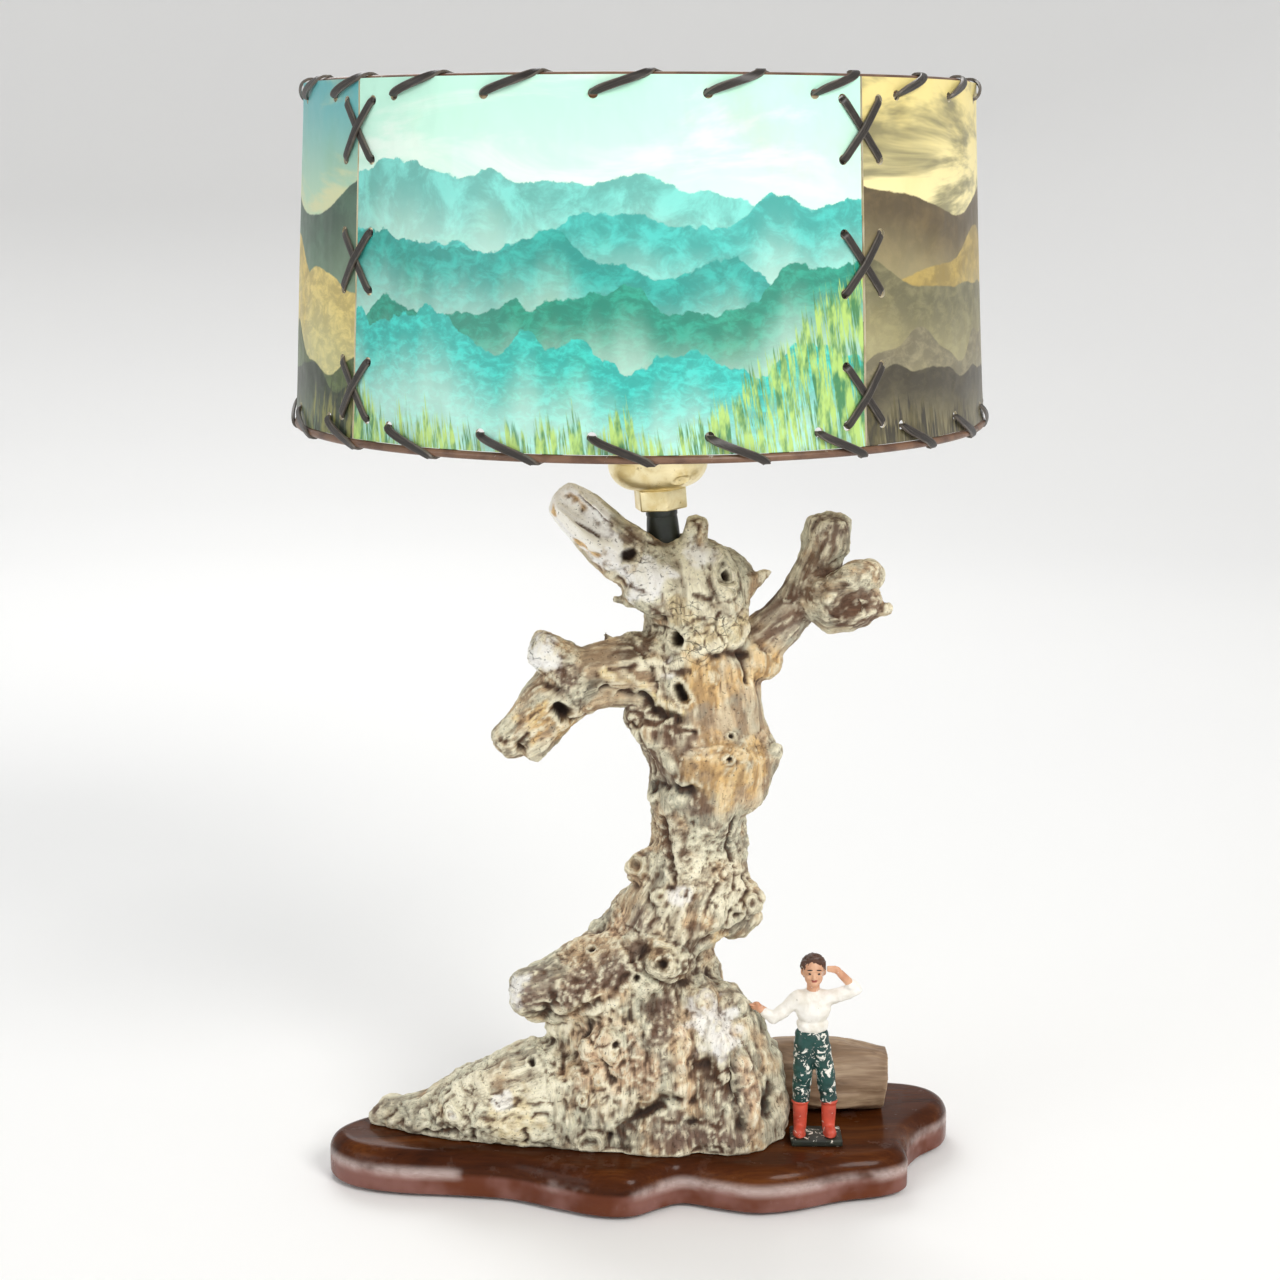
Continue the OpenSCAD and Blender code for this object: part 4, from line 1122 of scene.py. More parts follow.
STROKES = (
    Stroke(Tone.MAUVE, 4.2, -2.6, 0.85, (((-1, 106), (-9, 94), (-26, 90)),)),
    Stroke(Tone.MAUVE, 4.0, 0.0, 0.9, (
        ((-45, 86), (-36, 83), (-29, 85)), ((11, 83), (8, 72)), ((16, 27), (42, 25)))),
    Stroke(Tone.MAUVE, 2.1, -1.5, 0.75, (((6, 243), (9, 236)), ((22, 195), (17, 187), (21, 180)))),
    Stroke(Tone.BROWN, 2.1, -2.2, 0.75, (
        ((6, 218), (15, 218), (29, 224), (42, 224)), ((8, 155), (12, 139), (12, 129)),
        ((27, 106), (40, 109)), ((-33, 74), (-20, 79), (-9, 88)), ((-101, 25), (-86, 37), (-81, 40)),
        ((21, 278), (21, 273)), ((74, 241), (82, 239), (90, 243)))),
    Stroke(Tone.BROWN, 3.2, -3.2, 0.9, (((21, 59), (32, 53), (36, 48)),)),
    Stroke(Tone.BROWN, 1.1, -1.3, 0.7, (
        ((-9, 254), (2, 249), (13, 250)), ((22, 247), (31, 246), (39, 246)), ((2, 270), (13, 268)),
        ((-15, 218), (-2, 221)), ((-5, 196), (6, 197), (21, 195)), ((-4, 196), (0, 188), (5, 174)),
        ((24, 120), (32, 130)), ((39, 135), (36, 125), (33, 126)), ((42, 132), (44, 127), (42, 118)),
        ((18, 128), (21, 119)), ((2, 125), (5, 117), (2, 112)), ((-26, 85), (-21, 78), (-15, 82)),
        ((14, 68), (16, 49)), ((-31, 58), (-31, 51)), ((-16, 63), (-13, 50)), ((1, 70), (2, 61)),
        ((-23, 70), (-18, 66), (-13, 68)), ((10, 34), (25, 34), (31, 32)),
        ((-67, 33), (-49, 36), (-38, 37)))),
    Stroke(Tone.GREY, 4.2, 1.8, 0.9, (((4, 164), (14, 166)),)),
    Stroke(Tone.MAUVE, 3.0, 1.7, 0.7, (((10, 71), (14, 52), (16, 43)),)),
    Stroke(Tone.PINK, 2.4, 2.1, 0.8, (((18, 70), (18, 54), (19, 43)), ((43, 57), (47, 44), (46, 33)))),
    Stroke(Tone.CREAM, 2.0, 1.5, 0.8, (
        ((2, 220), (9, 218), (24, 226), (39, 228), (43, 232)), ((13, 154), (14, 139)),
        ((-38, 64), (-23, 74), (-10, 83)), ((-68, 48), (-80, 39)))),
    Stroke(Tone.PALE, 2.0, 1.2, 0.5, (
        ((-2, 191), (7, 187), (13, 177)), ((-105, 24), (-91, 34), (-83, 39)))),
    Stroke(Tone.STRAW, 1.7, 1.8, 0.9, (((-13, 218), (-1, 212), (4, 207), (14, 202)),)),
    # The dark strokes, here and among the rear ones below, sink furrows and paint them dark: painted shade
    # in the gouges, with the wood's own dark lines.
    Stroke(Tone.DARK, 2.6, -4.4, 0.95, (
        ((-12, 210), (1, 206), (4, 202), (13, 200)), ((4, 168), (11, 170), (19, 169)),
        ((-11, 27), (-3, 35), (10, 42), (16, 42)))),
    Stroke(Tone.DARK, 1.4, -2.8, 0.85, (((-46, 194), (-47, 185)),)),
    Stroke(Tone.DARK, 2.6, -3.0, 0.8, (
        ((-36, 86), (-37, 78), (-40, 72)), ((38, 56), (41, 40), (42, 32)), ((52, 49), (53, 35)))),
    Stroke(Tone.DARK, 1.4, -2.2, 0.75, (
        ((41, 223), (43, 213)), ((-40, 214), (-34, 212)), ((-56, 191), (-47, 190), (-47, 186)),
        ((-35, 203), (-26, 197), (-22, 199)), ((38, 157), (37, 144), (38, 136)),
        ((25, 22), (31, 24), (37, 21)), ((-101, 30), (-109, 21)), ((-69, 26), (-69, 21)),
        ((-47, 28), (-47, 22)), ((-89, 21), (-77, 25)))),
    Stroke(Tone.DARK, 0.75, -0.8, 0.7, (
        ((18, 237), (25, 240), (29, 238), (33, 241)), ((30, 237), (32, 233), (33, 228)),
        ((22, 234), (26, 232), (25, 228)), ((10, 222), (15, 222)), ((-31, 42), (-30, 22)),
        ((-80, 37), (-81, 32), (-74, 27)), ((-62, 42), (-57, 38), (-52, 39)), ((-48, 39), (-41, 40)))),
    Stroke(Tone.OCHRE, 1.7, -0.7, 0.9, (
        ((-31, 288), (-26, 285), (-23, 282)), ((-35, 284), (-35, 279)),
        ((-26, 269), (-21, 266), (-17, 263)))),
    Stroke(Tone.BROWN, 0.9, -1.0, 0.85, (
        ((-30, 290), (-24, 286), (-19, 281), (-11, 275)), ((-24, 278), (-18, 274), (-13, 270)))),
    Stroke(Tone.BROWN, 2.0, -2.4, 0.8, (
        ((12, 196), (18, 176), (16, 156), (22, 136), (10, 112)),
        ((-50, 44), (-70, 36), (-92, 30))), True),
    Stroke(Tone.DARK, 2.4, -2.6, 0.8, (
        ((34, 186), (34, 164), (38, 146)), ((0, 78), (4, 56), (2, 34))), True),
    Stroke(Tone.PALE, 2.4, 1.6, 0.6, (((-12, 84), (-18, 60), (-28, 36)),), True),
)
KNOTS = (
    Knot((9, 102), 8.0, 1.7), Knot((7, 125), 3.4, 1.0), Knot((39, 115), 4.0, 1.2, Tone.GREY),
    Knot((46, 121), 3.4, 1.0), Knot((-2, 137), 4.8, 1.0, Tone.DARK), Knot((-4, 197), 3.0, 1.0),
    Knot((-24, 43), 2.6, 0.8), Knot((-77, 33), 4.4, 1.2, Tone.WHITE),
    Knot((-21, 25), 5.0, 1.2, Tone.GREY), Knot((37, 193), 1.9, 0.5), Knot((36, 184), 1.9, 0.5),
    Knot((34, 256), 6.4, 1.2, Tone.DARK), Knot((20, 168), 4.5, 1.4, back=True),
    Knot((6, 104), 5.0, 1.6, back=True), Knot((-34, 44), 4.0, 1.2, back=True),
    Knot((30, 214), 3.4, 1.0, back=True),
)
PITS = (
    Pit(((-3, 265), (-5, 263)), 2.9, 4.4, 0.3), Pit(((34, 256),), 2.1, 4.5),
    Pit(((13, 231), (14, 230)), 3.0, 7.0), Pit(((14, 211), (16, 208)), 2.6, 5.0, 0.3),
    Pit(((-32, 203), (-28, 201)), 3.0, 4.5, 0.3), Pit(((37, 193),), 1.3, 2.0),
    Pit(((36, 184),), 1.3, 2.0), Pit(((9, 101),), 2.9, 3.6, 0.8), Pit(((-20, 103),), 1.6, 3.0),
    Pit(((-1, 93),), 1.8, 3.0), Pit(((-9, 67),), 1.7, 3.0), Pit(((-45, 56), (-44, 55)), 1.5, 2.6),
    Pit(((18, 186), (19, 182)), 2.4, 5.0, back=True), Pit(((-34, 44),), 1.6, 3.0, back=True),
)
STRANDS = (
    Strand((3, -3, 18), (1, 0, 85), 42), Strand((1, 0, 85), (21, 1, 130), 29),
    Strand((21, 1, 130), (24, -1, 156), 19), Strand((24, -1, 156), (28, -2, 182), 24),
    Strand((28, -2, 182), (23, 1, 230), 23), Strand((23, 1, 230), (17, 0, 264), 21),
    Strand((10, -2, 212), (-22, -8, 211), 13), Strand((-22, -8, 211), (-56, -14, 187), 11),
    Strand((36, 3, 218), (60, 5, 238), 11), Strand((60, 5, 238), (74, 5, 275), 9),
    Strand((72, 3, 245), (94, -4, 245), 12), Strand((12, -4, 258), (-30, -9, 287), 10),
    Strand((10, 0, 90), (-53, -12, 80), 16), Strand((0, -2, 41), (-60, -6, 31), 23),
    Strand((-60, -6, 31), (-112, 3, 22), 12), Strand((2, -2, 75), (-14, -16, 15), 17),
    Strand((22, -2, 80), (38, -17, 15), 18), Strand((30, -4, 72), (51, -12, 15), 12),
    Strand((18, 6, 70), (26, 20, 15), 16), Strand((-2, 4, 68), (-24, 17, 15), 16),
)


def from_line(points: Array, line: Array) -> Array:
    """Measures how far points lie from a line through places.

    Args:
        points: The points.
        line: The places.

    Returns:
        The distances.
    """
    far = np.linalg.norm(points - line[0], axis=1)
    for start, end in zip(line[:-1], line[1:]):
        span = end - start
        t = np.clip((points - start) @ span / max(span @ span, 1e-9), 0, 1)
        far = np.minimum(far, np.linalg.norm(points - start - t[:, None] * span, axis=1))
    return far


@dataclass
class DriftwoodTrunk:
    """The gnarled trunk: the CAD wood remeshed, with burls, furrows, knots, holes and cracks."""

    voxel: float = 0.92
    soften: int = 6
    board_top: float = 19.5
    lump: float = 1.5
    bump: float = 1.1
    furrow: float = 0.8
    worm: float = 0.85
    fibre: float = 0.35
    knots: int = 14
    seed: int = 11
    neck: tuple[Point, Point] = ((11.5, 0.0, 240.0), (6.0, 0.0, 312.0))
    inlet: Point = (11.5, 16.0, 240.0)
    calm: tuple[tuple[Point, float], ...] = (
        ((36, -18, 190), 26), ((30, -16, 212), 14), ((52, -4, 222), 14), ((62, 2, 240), 14),
        ((-14, -12, 218), 14), ((24, 14, 205), 20), ((-22, -14, 280), 18), ((14, -18, 257), 12))
    wormy: tuple[tuple[Point, float], ...] = (
        ((-14, -28, 58), 22), ((36, -14, 124), 14), ((2, 26, 60), 26))
    cracked: tuple[tuple[Point, float], ...] = (
        ((24, -12, 236), 20), ((4, -18, 256), 11), ((8, 10, 245), 20), ((-40, -14, 226), 8),
        ((-51, -18, 85), 8))

    def build(self) -> None:
        """Makes the trunk and dresses it."""
        wood = copy_of("driftwood_trunk", "driftwood")
        shape(wood, "REMESH", mode="VOXEL", voxel_size=self.voxel * MM)
        shape(wood, "SMOOTH", factor=0.5, iterations=self.soften)
        rest = points_of(wood)
        normals = normals_of(wood)
        knots = [(knot, self._found(rest, knot.spot, knot.back)) for knot in KNOTS]
        knots += self._stray_knots(rest, knots)
        grain = self._grain(rest, knots)
        height = self._relief(rest, grain)
        tint = self._tones(rest, grain)
        height, tint = self._strokes(rest, height, tint)
        height, tint, rings = self._knots(rest, normals, knots, height, tint)
        rings[:, 2] = self._zone(rest, self.calm)
        points = rest + normals * (height * self._held(rest))[:, None]
        points, hollow = self._pits(points, rest, normals)
        points[:, 2] = np.maximum(points[:, 2], self.board_top)
        move_points(wood, points)
        shade_smooth(wood)
        self._dress(wood, points, tint, hollow)
        keep_attribute(wood, "grain", "FLOAT_VECTOR", grain * MM)
        keep_attribute(wood, "rings", "FLOAT_VECTOR", rings)
        keep_attribute(wood, "cracked", "FLOAT", self._zone(rest, self.cracked))
        wear(wood, Driftwood().material())
        seat(wood, "stand", "driftwood", "driftwood_trunk")

    def _found(self, points: Array, spot: Sequence[float], back: bool = False) -> Array:
        """Finds the wood's foremost point, or its rearmost one, at a place across and up.

        Args:
            points: The wood's points.
            spot: The place.
            back: Whether the rear is meant.

        Returns:
            The point.
        """
        aside = np.hypot(points[:, 0] - spot[0], points[:, 2] - spot[1])
        near = np.flatnonzero(aside < max(1.2, aside.min() + 0.5))
        depth = points[near, 1]
        return points[near[np.argmax(depth) if back else np.argmin(depth)]]

    def _zone(self, points: Array, places: Iterable[tuple[Point, float]]) -> Array:
        """Weighs points by how near they lie to places, from 0 to 1."""
        share = np.zeros(len(points))
        for place, reach in places:
            far = np.linalg.norm(points - np.array(place), axis=1)
            share = np.maximum(share, np.exp(-(far / reach) ** 4))
        return share

    def _held(self, points: Array) -> Array:
        """Weighs down the relief at the board, the neck's seat and the flex inlet.

        Args:
            points: The wood's points.

        Returns:
            The share of the relief that each point takes.
        """
        low, high = (np.array(p) for p in self.neck)
        axis = (high - low) / np.linalg.norm(high - low)
        off = points - low
        up = off @ axis
        far = np.linalg.norm(off - up[:, None] * axis, axis=1)
        neck = (1 - rise(far, 9, 14)) * rise(up, 15, 22)
        inlet = 1 - rise(np.linalg.norm(points - np.array(self.inlet), axis=1), 9, 14)
        foot = 0.8 * (1 - rise(points[:, 2], self.board_top + 0.3, self.board_top + 2.0))
        return 1 - np.maximum.reduce([neck, inlet, foot])

    def _stray_knots(self, points: Array, knots: Placed) -> Placed:
        """Scatters more knots, most of them low down and at the back.

        Args:
            points: The wood's points.
            knots: The knots so far, with their places.

        Returns:
            The further knots.
        """
        random = np.random.default_rng(self.seed)
        calm = self._zone(points, self.calm)
        chance = rise(points[:, 1], 0, 10) * (0.35 + 0.65 * rise(points[:, 2], 190, 90)) * (1 - calm)
        taken = [place for _, place in knots]
        strays: Placed = []
        for spot in random.choice(len(points), 40 * self.knots, replace=False):
            reach = random.uniform(1.8, 5.0)
            if random.random() > chance[spot] or len(strays) == self.knots:
                continue
            if all(np.linalg.norm(points[spot] - other) > 9 for other in taken):
                taken.append(points[spot])
                strays.append((Knot((0, 0), reach, 0.3 * reach), points[spot]))
        return strays

    def _grain(self, points: Array, knots: Placed) -> Array:
        """Places points across and, shortened, along the nearest strand of fibres, bent round knots.

        Args:
            points: The wood's points.
            knots: The knots, with their places.

        Returns:
            Places in which streaks along the limbs are long.
        """
        bent = points.copy()
        for knot, place in knots:
            off = points - place
            far = np.linalg.norm(off, axis=1)
            near = far < 3.2 * knot.reach
            bent[near] -= off[near] * np.exp(-(far[near] / (1.1 * knot.reach)) ** 2)[:, None]
        bent += 2.2 * np.column_stack([cloud(points, 26, 2, 31.0 + 7 * k) for k in range(3)])
        best = np.full(len(points), np.inf)
        grain = np.zeros_like(points)
        run = 0.0
        for strand in STRANDS:
            start, end = np.array(strand.start, float), np.array(strand.end, float)
            length = np.linalg.norm(end - start)
            axis = (end - start) / length
            t = np.clip((bent - start) @ axis, 0, length)
            off = bent - start - t[:, None] * axis
            far = np.linalg.norm(off, axis=1) / strand.radius
            near = far < best
            best = np.where(near, far, best)
            grain[near] = (off + axis * 0.13 * (run + t)[:, None])[near]
            run += length + 40
        return grain

    def _relief(self, points: Array, grain: Array) -> Array:
        """Works out lumps, furrows along the fibres and worm tracks.

        Args:
            points: The wood's points.
            grain: Places along the fibres.

        Returns:
            The height in millimetres.
        """
        rough = 1 - 0.85 * self._zone(points, self.calm)
        height = self.lump * cloud(points, 17, 3) * (0.3 + 0.7 * rough)
        height += self.furrow * cloud(grain, 5.5, 3, 2.9) * (0.25 + 0.75 * rough)
        height += self.fibre * cloud(grain, 1.7, 2, 6.1)
        height += self.bump * cloud(points, 7.5, 2, 23.0) * rough * rise(points[:, 2], 190, 120)
        warp = np.column_stack([cloud(points, 10, 2, 13.7 * (k + 1)) for k in range(3)]) * 4.5
        track = np.clip(1 - 2.4 * np.abs(cloud(points + warp, 6.0, 1, 5.1)), -1, 1)
        track += 0.5 * np.clip(1 - 2.4 * np.abs(cloud(points + 0.6 * warp, 3.2, 1, 15.1)), -1, 1)
        height += self.worm * track * (0.3 * rough + 0.7 * self._zone(points, self.wormy))
        notch = rise(points[:, 2], self.board_top + 5, self.board_top)
        return height - 1.6 * (notch * rise(cloud(points, 6, 2, 9.3), 0.05, 0.35))

    def _tones(self, points: Array, grain: Array) -> Array:
        """Lays the wood's broad tones.

        Args:
            points: The wood's points.
            grain: Places along the fibres.

        Returns:
            The linear colours.
        """
        mottle = rise(cloud(points, 15, 3, 2.2), -0.45, 0.45)
        bands = rise(cloud(grain, 5, 3, 4.4), -0.4, 0.4)
        tint = self._laid(np.tile(Tone.TAN.light(), (len(points), 1)), Tone.GREY, mottle)
        ragged = 0.7 * cloud(points, 7, 4, 8.8)
        for stain in STAINS:
            share = np.zeros(len(points))
            for x, z, reach in stain.places:
                far = np.linalg.norm(points - self._found(points, (x, z), stain.back), axis=1) / reach
                share = np.maximum(share, rise(-far - ragged, -1.2, -0.7))
            tint = self._laid(tint, stain.tone, stain.share * share)
        tint = self._laid(tint, Tone.BROWN, 0.45 * rise(bands, 0.6, 0.95) * self._dull(tint))
        return self._laid(tint, Tone.CREAM, 0.25 * rise(-bands, -0.35, -0.05))

    def _strokes(self, points: Array, height: Array, tint: Array) -> tuple[Array, Array]:
        """Draws the crests and furrows.

        Args:
            points: The wood's points.
            height: The relief so far.
            tint: The tones so far.

        Returns:
            The new relief and tones.
        """
        wander = 1.3 * np.column_stack([cloud(points, 5.5, 2, 51.0 + 9 * k) for k in range(3)])
        fade = 0.3 + 0.7 * rise(cloud(points, 8, 2, 71.0), -0.5, 0.25)
        for stroke in STROKES:
            width = stroke.width * (1.4 if stroke.height > 0 else 1.1)
            reach = 3 * width + 2
            for spots in stroke.lines:
                line = self._on_wood(points, np.array(spots, float), stroke.back)
                inside = (points > line.min(0) - reach) & (points < line.max(0) + reach)
                near = np.flatnonzero(np.all(inside, axis=1))
                far = from_line(points[near] + wander[near], line) / width
                weight = np.exp(-far * far) * fade[near]
                height[near] += stroke.height * weight
                tint[near] = self._laid(tint[near], stroke.tone, stroke.share * rise(weight, 0.15, 0.7))
        return height, tint

    def _on_wood(self, points: Array, spots: Array, back: bool, step: float = 1.8) -> Array:
        """Lays a line down onto the wood in short steps.

        Args:
            points: The wood's points.
            spots: The places across and up that the line passes.
            back: Whether it lies at the rear.
            step: Length of a step.

        Returns:
            Places on the wood.
        """
        fine = [spots[:1]]
        for start, end in zip(spots[:-1], spots[1:]):
            steps = max(2, int(np.linalg.norm(end - start) / step))
            fine.append(start + (end - start) * np.linspace(0, 1, steps + 1)[1:, None])
        return np.array([self._found(points, spot, back) for spot in np.concatenate(fine)])

    def _knots(self, points: Array, normals: Array, knots: Placed, height: Array,
               tint: Array) -> tuple[Array, Array, Array]:
        """Raises the knots.

        Args:
            points: The wood's points.
            normals: Their outward directions.
            knots: The knots, with their places.
            height: The relief so far.
            tint: The tones so far.

        Returns:
            The new relief and tones, and for each point the distance from its knot's heart and its share
            of it.
        """
        rings = np.zeros_like(points)
        shake = cloud(points, 5.5, 2, 1.9)
        whole = 0.3 + 0.7 * rise(cloud(points, 6.5, 2, 17.0), -0.45, 0.3)
        random = np.random.default_rng(self.seed + 1)
        for knot, place in knots:
            off = points - place
            far = np.linalg.norm(off, axis=1)
            out = normals[int(np.argmin(far))]
            near = np.flatnonzero((far < 2.2 * knot.reach) & (normals @ out > 0.15))
            long = unit(np.cross(out, random.normal(size=3)))
            stretch = random.uniform(1.05, 1.45)
            lengthwise = off[near] @ long
            sideways = np.sqrt(np.maximum(far[near] ** 2 - lengthwise ** 2, 0))
            t = np.hypot(lengthwise / stretch, sideways * stretch ** 0.5) / knot.reach
            t *= 1 + 0.4 * shake[near]
            rim = np.exp(-((t - 0.75) / 0.3) ** 2) * whole[near]
            heart = np.exp(-(t / 0.42) ** 2)
            moat = np.exp(-((t - 1.25) / 0.22) ** 2) * (1.3 - whole[near])
            height[near] += knot.height * (rim + 0.5 * np.exp(-t * t) - 0.8 * heart - 0.5 * moat)
            tint[near] = self._laid(tint[near], Tone.STRAW, 0.35 * rim)
            tint[near] = self._laid(tint[near], Tone.BROWN, 0.6 * moat)
            tint[near] = self._laid(tint[near], knot.heart, 0.75 * heart)
            rings[near, 0] = t * knot.reach
            rings[near, 1] = np.maximum(rings[near, 1], (1 - rise(t, 0.8, 1.25)) * whole[near])
        return height, tint, rings

    def _pits(self, points: Array, rest: Array, normals: Array) -> tuple[Array, Array]:
        """Sinks the holes, raises their rims and paints shade into them.

        Args:
            points: The wood's points with their relief.
            rest: The points before it.
            normals: Their outward directions.

        Returns:
            The moved points, and how much painted shade each one takes.
        """
        dark = np.zeros(len(points))
        for pit in PITS:
            line = np.array([self._found(rest, spot, pit.back) for spot in pit.spots])
            off = rest - line.mean(0)
            far = from_line(rest, line)
            way = unit(normals[far < 1.5 * pit.reach].mean(0))
            near = np.flatnonzero((far < 3 * pit.reach + 2) & (normals @ way > -0.2))
            flat = off[near] - (off[near] @ way)[:, None] * way
            across = line - line.mean(0)
            side = from_line(flat, across - (across @ way)[:, None] * way) / pit.reach
            side *= 1 + 0.3 * cloud(rest[near], 2.6, 2, 8.3)
            push = pit.rim * np.exp(-((side - 1.3) / 0.28) ** 2) - pit.depth * (1 - rise(side, 0.1, 1.15))
            points[near] += way * push[:, None]
            # Painted shade in the holes.
            dark[near] = np.maximum(dark[near], 1 - rise(side, 0.35, 1.1))
        return points, dark

    def _dress(self, wood: Piece, points: Array, tint: Array, hollow: Array) -> None:
        """Paints a highlight onto the crests and shade into the recesses, and stores the tones for the
        material.

        Args:
            wood: The trunk.
            points: Its points.
            tint: Its tones.
            hollow: Painted shade in the holes.
        """
        normals = normals_of(wood)
        edges = edges_of(wood)
        fine = np.einsum("ij,ij->i", smoothed(edges, points, 6) - points, normals)
        broad = np.einsum("ij,ij->i", smoothed(edges, points, 45) - points, normals)
        dull = self._dull(tint)
        # Painted highlight on the crests; painted shade in the fine recesses, darker in the broad ones.
        tint = self._laid(tint, Tone.CREAM, rise(-fine, 0.05, 0.32) * 0.75 * dull)
        tint = self._laid(tint, Tone.BROWN, rise(fine, 0.04, 0.28) * 0.9 * dull)
        tint = self._laid(tint, Tone.DARK, rise(broad, 0.4, 1.8) * 0.8 * dull)
        # Painted shade in the holes and the deeper fine recesses.
        hollow = np.clip(np.maximum(hollow * 0.95, rise(fine, 0.3, 0.8) * 0.75), 0, 1)
        keep_attribute(wood, "tint", "FLOAT_COLOR", np.column_stack([tint, np.ones(len(tint))]))
        keep_attribute(wood, "hollow", "FLOAT", hollow)

    def _dull(self, tint: Array) -> Array:
        """Weighs tones down to a quarter where they are bleached white."""
        return 1 - 0.75 * rise(tint[:, 2], 0.6, 0.85)

    def _laid(self, tint: Array, tone: Tone, share: Array) -> Array:
        """Lays a tone over the tint."""
        return tint + (tone.light() - tint) * share[:, None]


@dataclass
class SideLog:
    """The smoother log behind the figure, sawn at its right end."""

    voxel: float = 0.8
    board_top: float = 19.5

    def build(self) -> None:
        """Makes the log and dresses it."""
        log = copy_of("side_log", "side_log_wood")
        shape(log, "REMESH", mode="VOXEL", voxel_size=self.voxel * MM)
        shape(log, "SMOOTH", factor=0.5, iterations=2)
        points = points_of(log)
        normals = normals_of(log)
        sawn = rise(np.abs(normals[:, 0]), 0.75, 0.92)
        along = points * np.array([0.12, 1.0, 1.0])
        relief = 0.7 * cloud(along, 7, 2) + 0.35 * cloud(along, 1.8, 2, 4.0)
        relief *= (1 - sawn) * rise(points[:, 2], self.board_top + 0.2, self.board_top + 2)
        points += normals * relief[:, None]
        points[:, 2] = np.maximum(points[:, 2], self.board_top)
        move_points(log, points)
        keep_attribute(log, "sawn", "FLOAT", sawn)
        shade_smooth(log)
        wear(log, LogWood().material())
        seat(log, "stand", "log_wood", "side_log")


# Toy figure


class Clay:
    """Rounded lumps that are fused into one soft form, in the figure's own millimetres."""

    def __init__(self, origin: Point) -> None:
        """Starts with no lumps.

        Args:
            origin: Where the figure stands.
        """
        self.origin = np.array(origin, float)
        self.lumps: list[Piece] = []

    def ball(self, middle: Point, radii: Point, turn: Point = (0, 0, 0)) -> Clay:
        """Adds an egg-shaped lump.

        Args:
            middle: Its middle.
            radii: Its half sizes.
            turn: Its turn about X, Y and Z in degrees.

        Returns:
            The clay itself.
        """
        deselect()
        bpy.ops.mesh.primitive_uv_sphere_add(
            segments=24, ring_count=14, radius=1.0, location=(self.origin + middle) * MM,
            rotation=[math.radians(t) for t in turn], scale=[r * MM for r in radii])
        self.lumps.append(named("lump"))
        return self

    def bar(self, start: Point, start_r: float, end: Point, end_r: float) -> Clay:
        """Adds a tapering bar with round ends.

        Args:
            start: Its first end.
            start_r: The radius there.
            end: Its other end.
            end_r: The radius there.

        Returns:
            The clay itself.
        """
        a, b = Vector(start), Vector(end)
        deselect()
        turn = (b - a).to_track_quat("Z", "Y").to_euler()
        bpy.ops.mesh.primitive_cone_add(
            vertices=20, radius1=start_r * MM, radius2=end_r * MM, depth=(b - a).length * MM,
            location=(self.origin + (a + b) / 2) * MM, rotation=turn)
        self.lumps.append(named("lump"))
        self.ball(start, (start_r,) * 3)
        return self.ball(end, (end_r,) * 3)

    def fuse(self, name: str, voxel: float, soften: int) -> Piece:
        """Fuses the lumps.

        Args:
            name: The form's name.
            voxel: Size of its finest detail.
            soften: Rounds of smoothing.

        Returns:
            The form.
        """
        form = join(self.lumps)
        form.name = name
        shape(form, "REMESH", mode="VOXEL", voxel_size=voxel * MM)
        shape(form, "SMOOTH", factor=0.5, iterations=soften)
        shade_smooth(form)
        return form


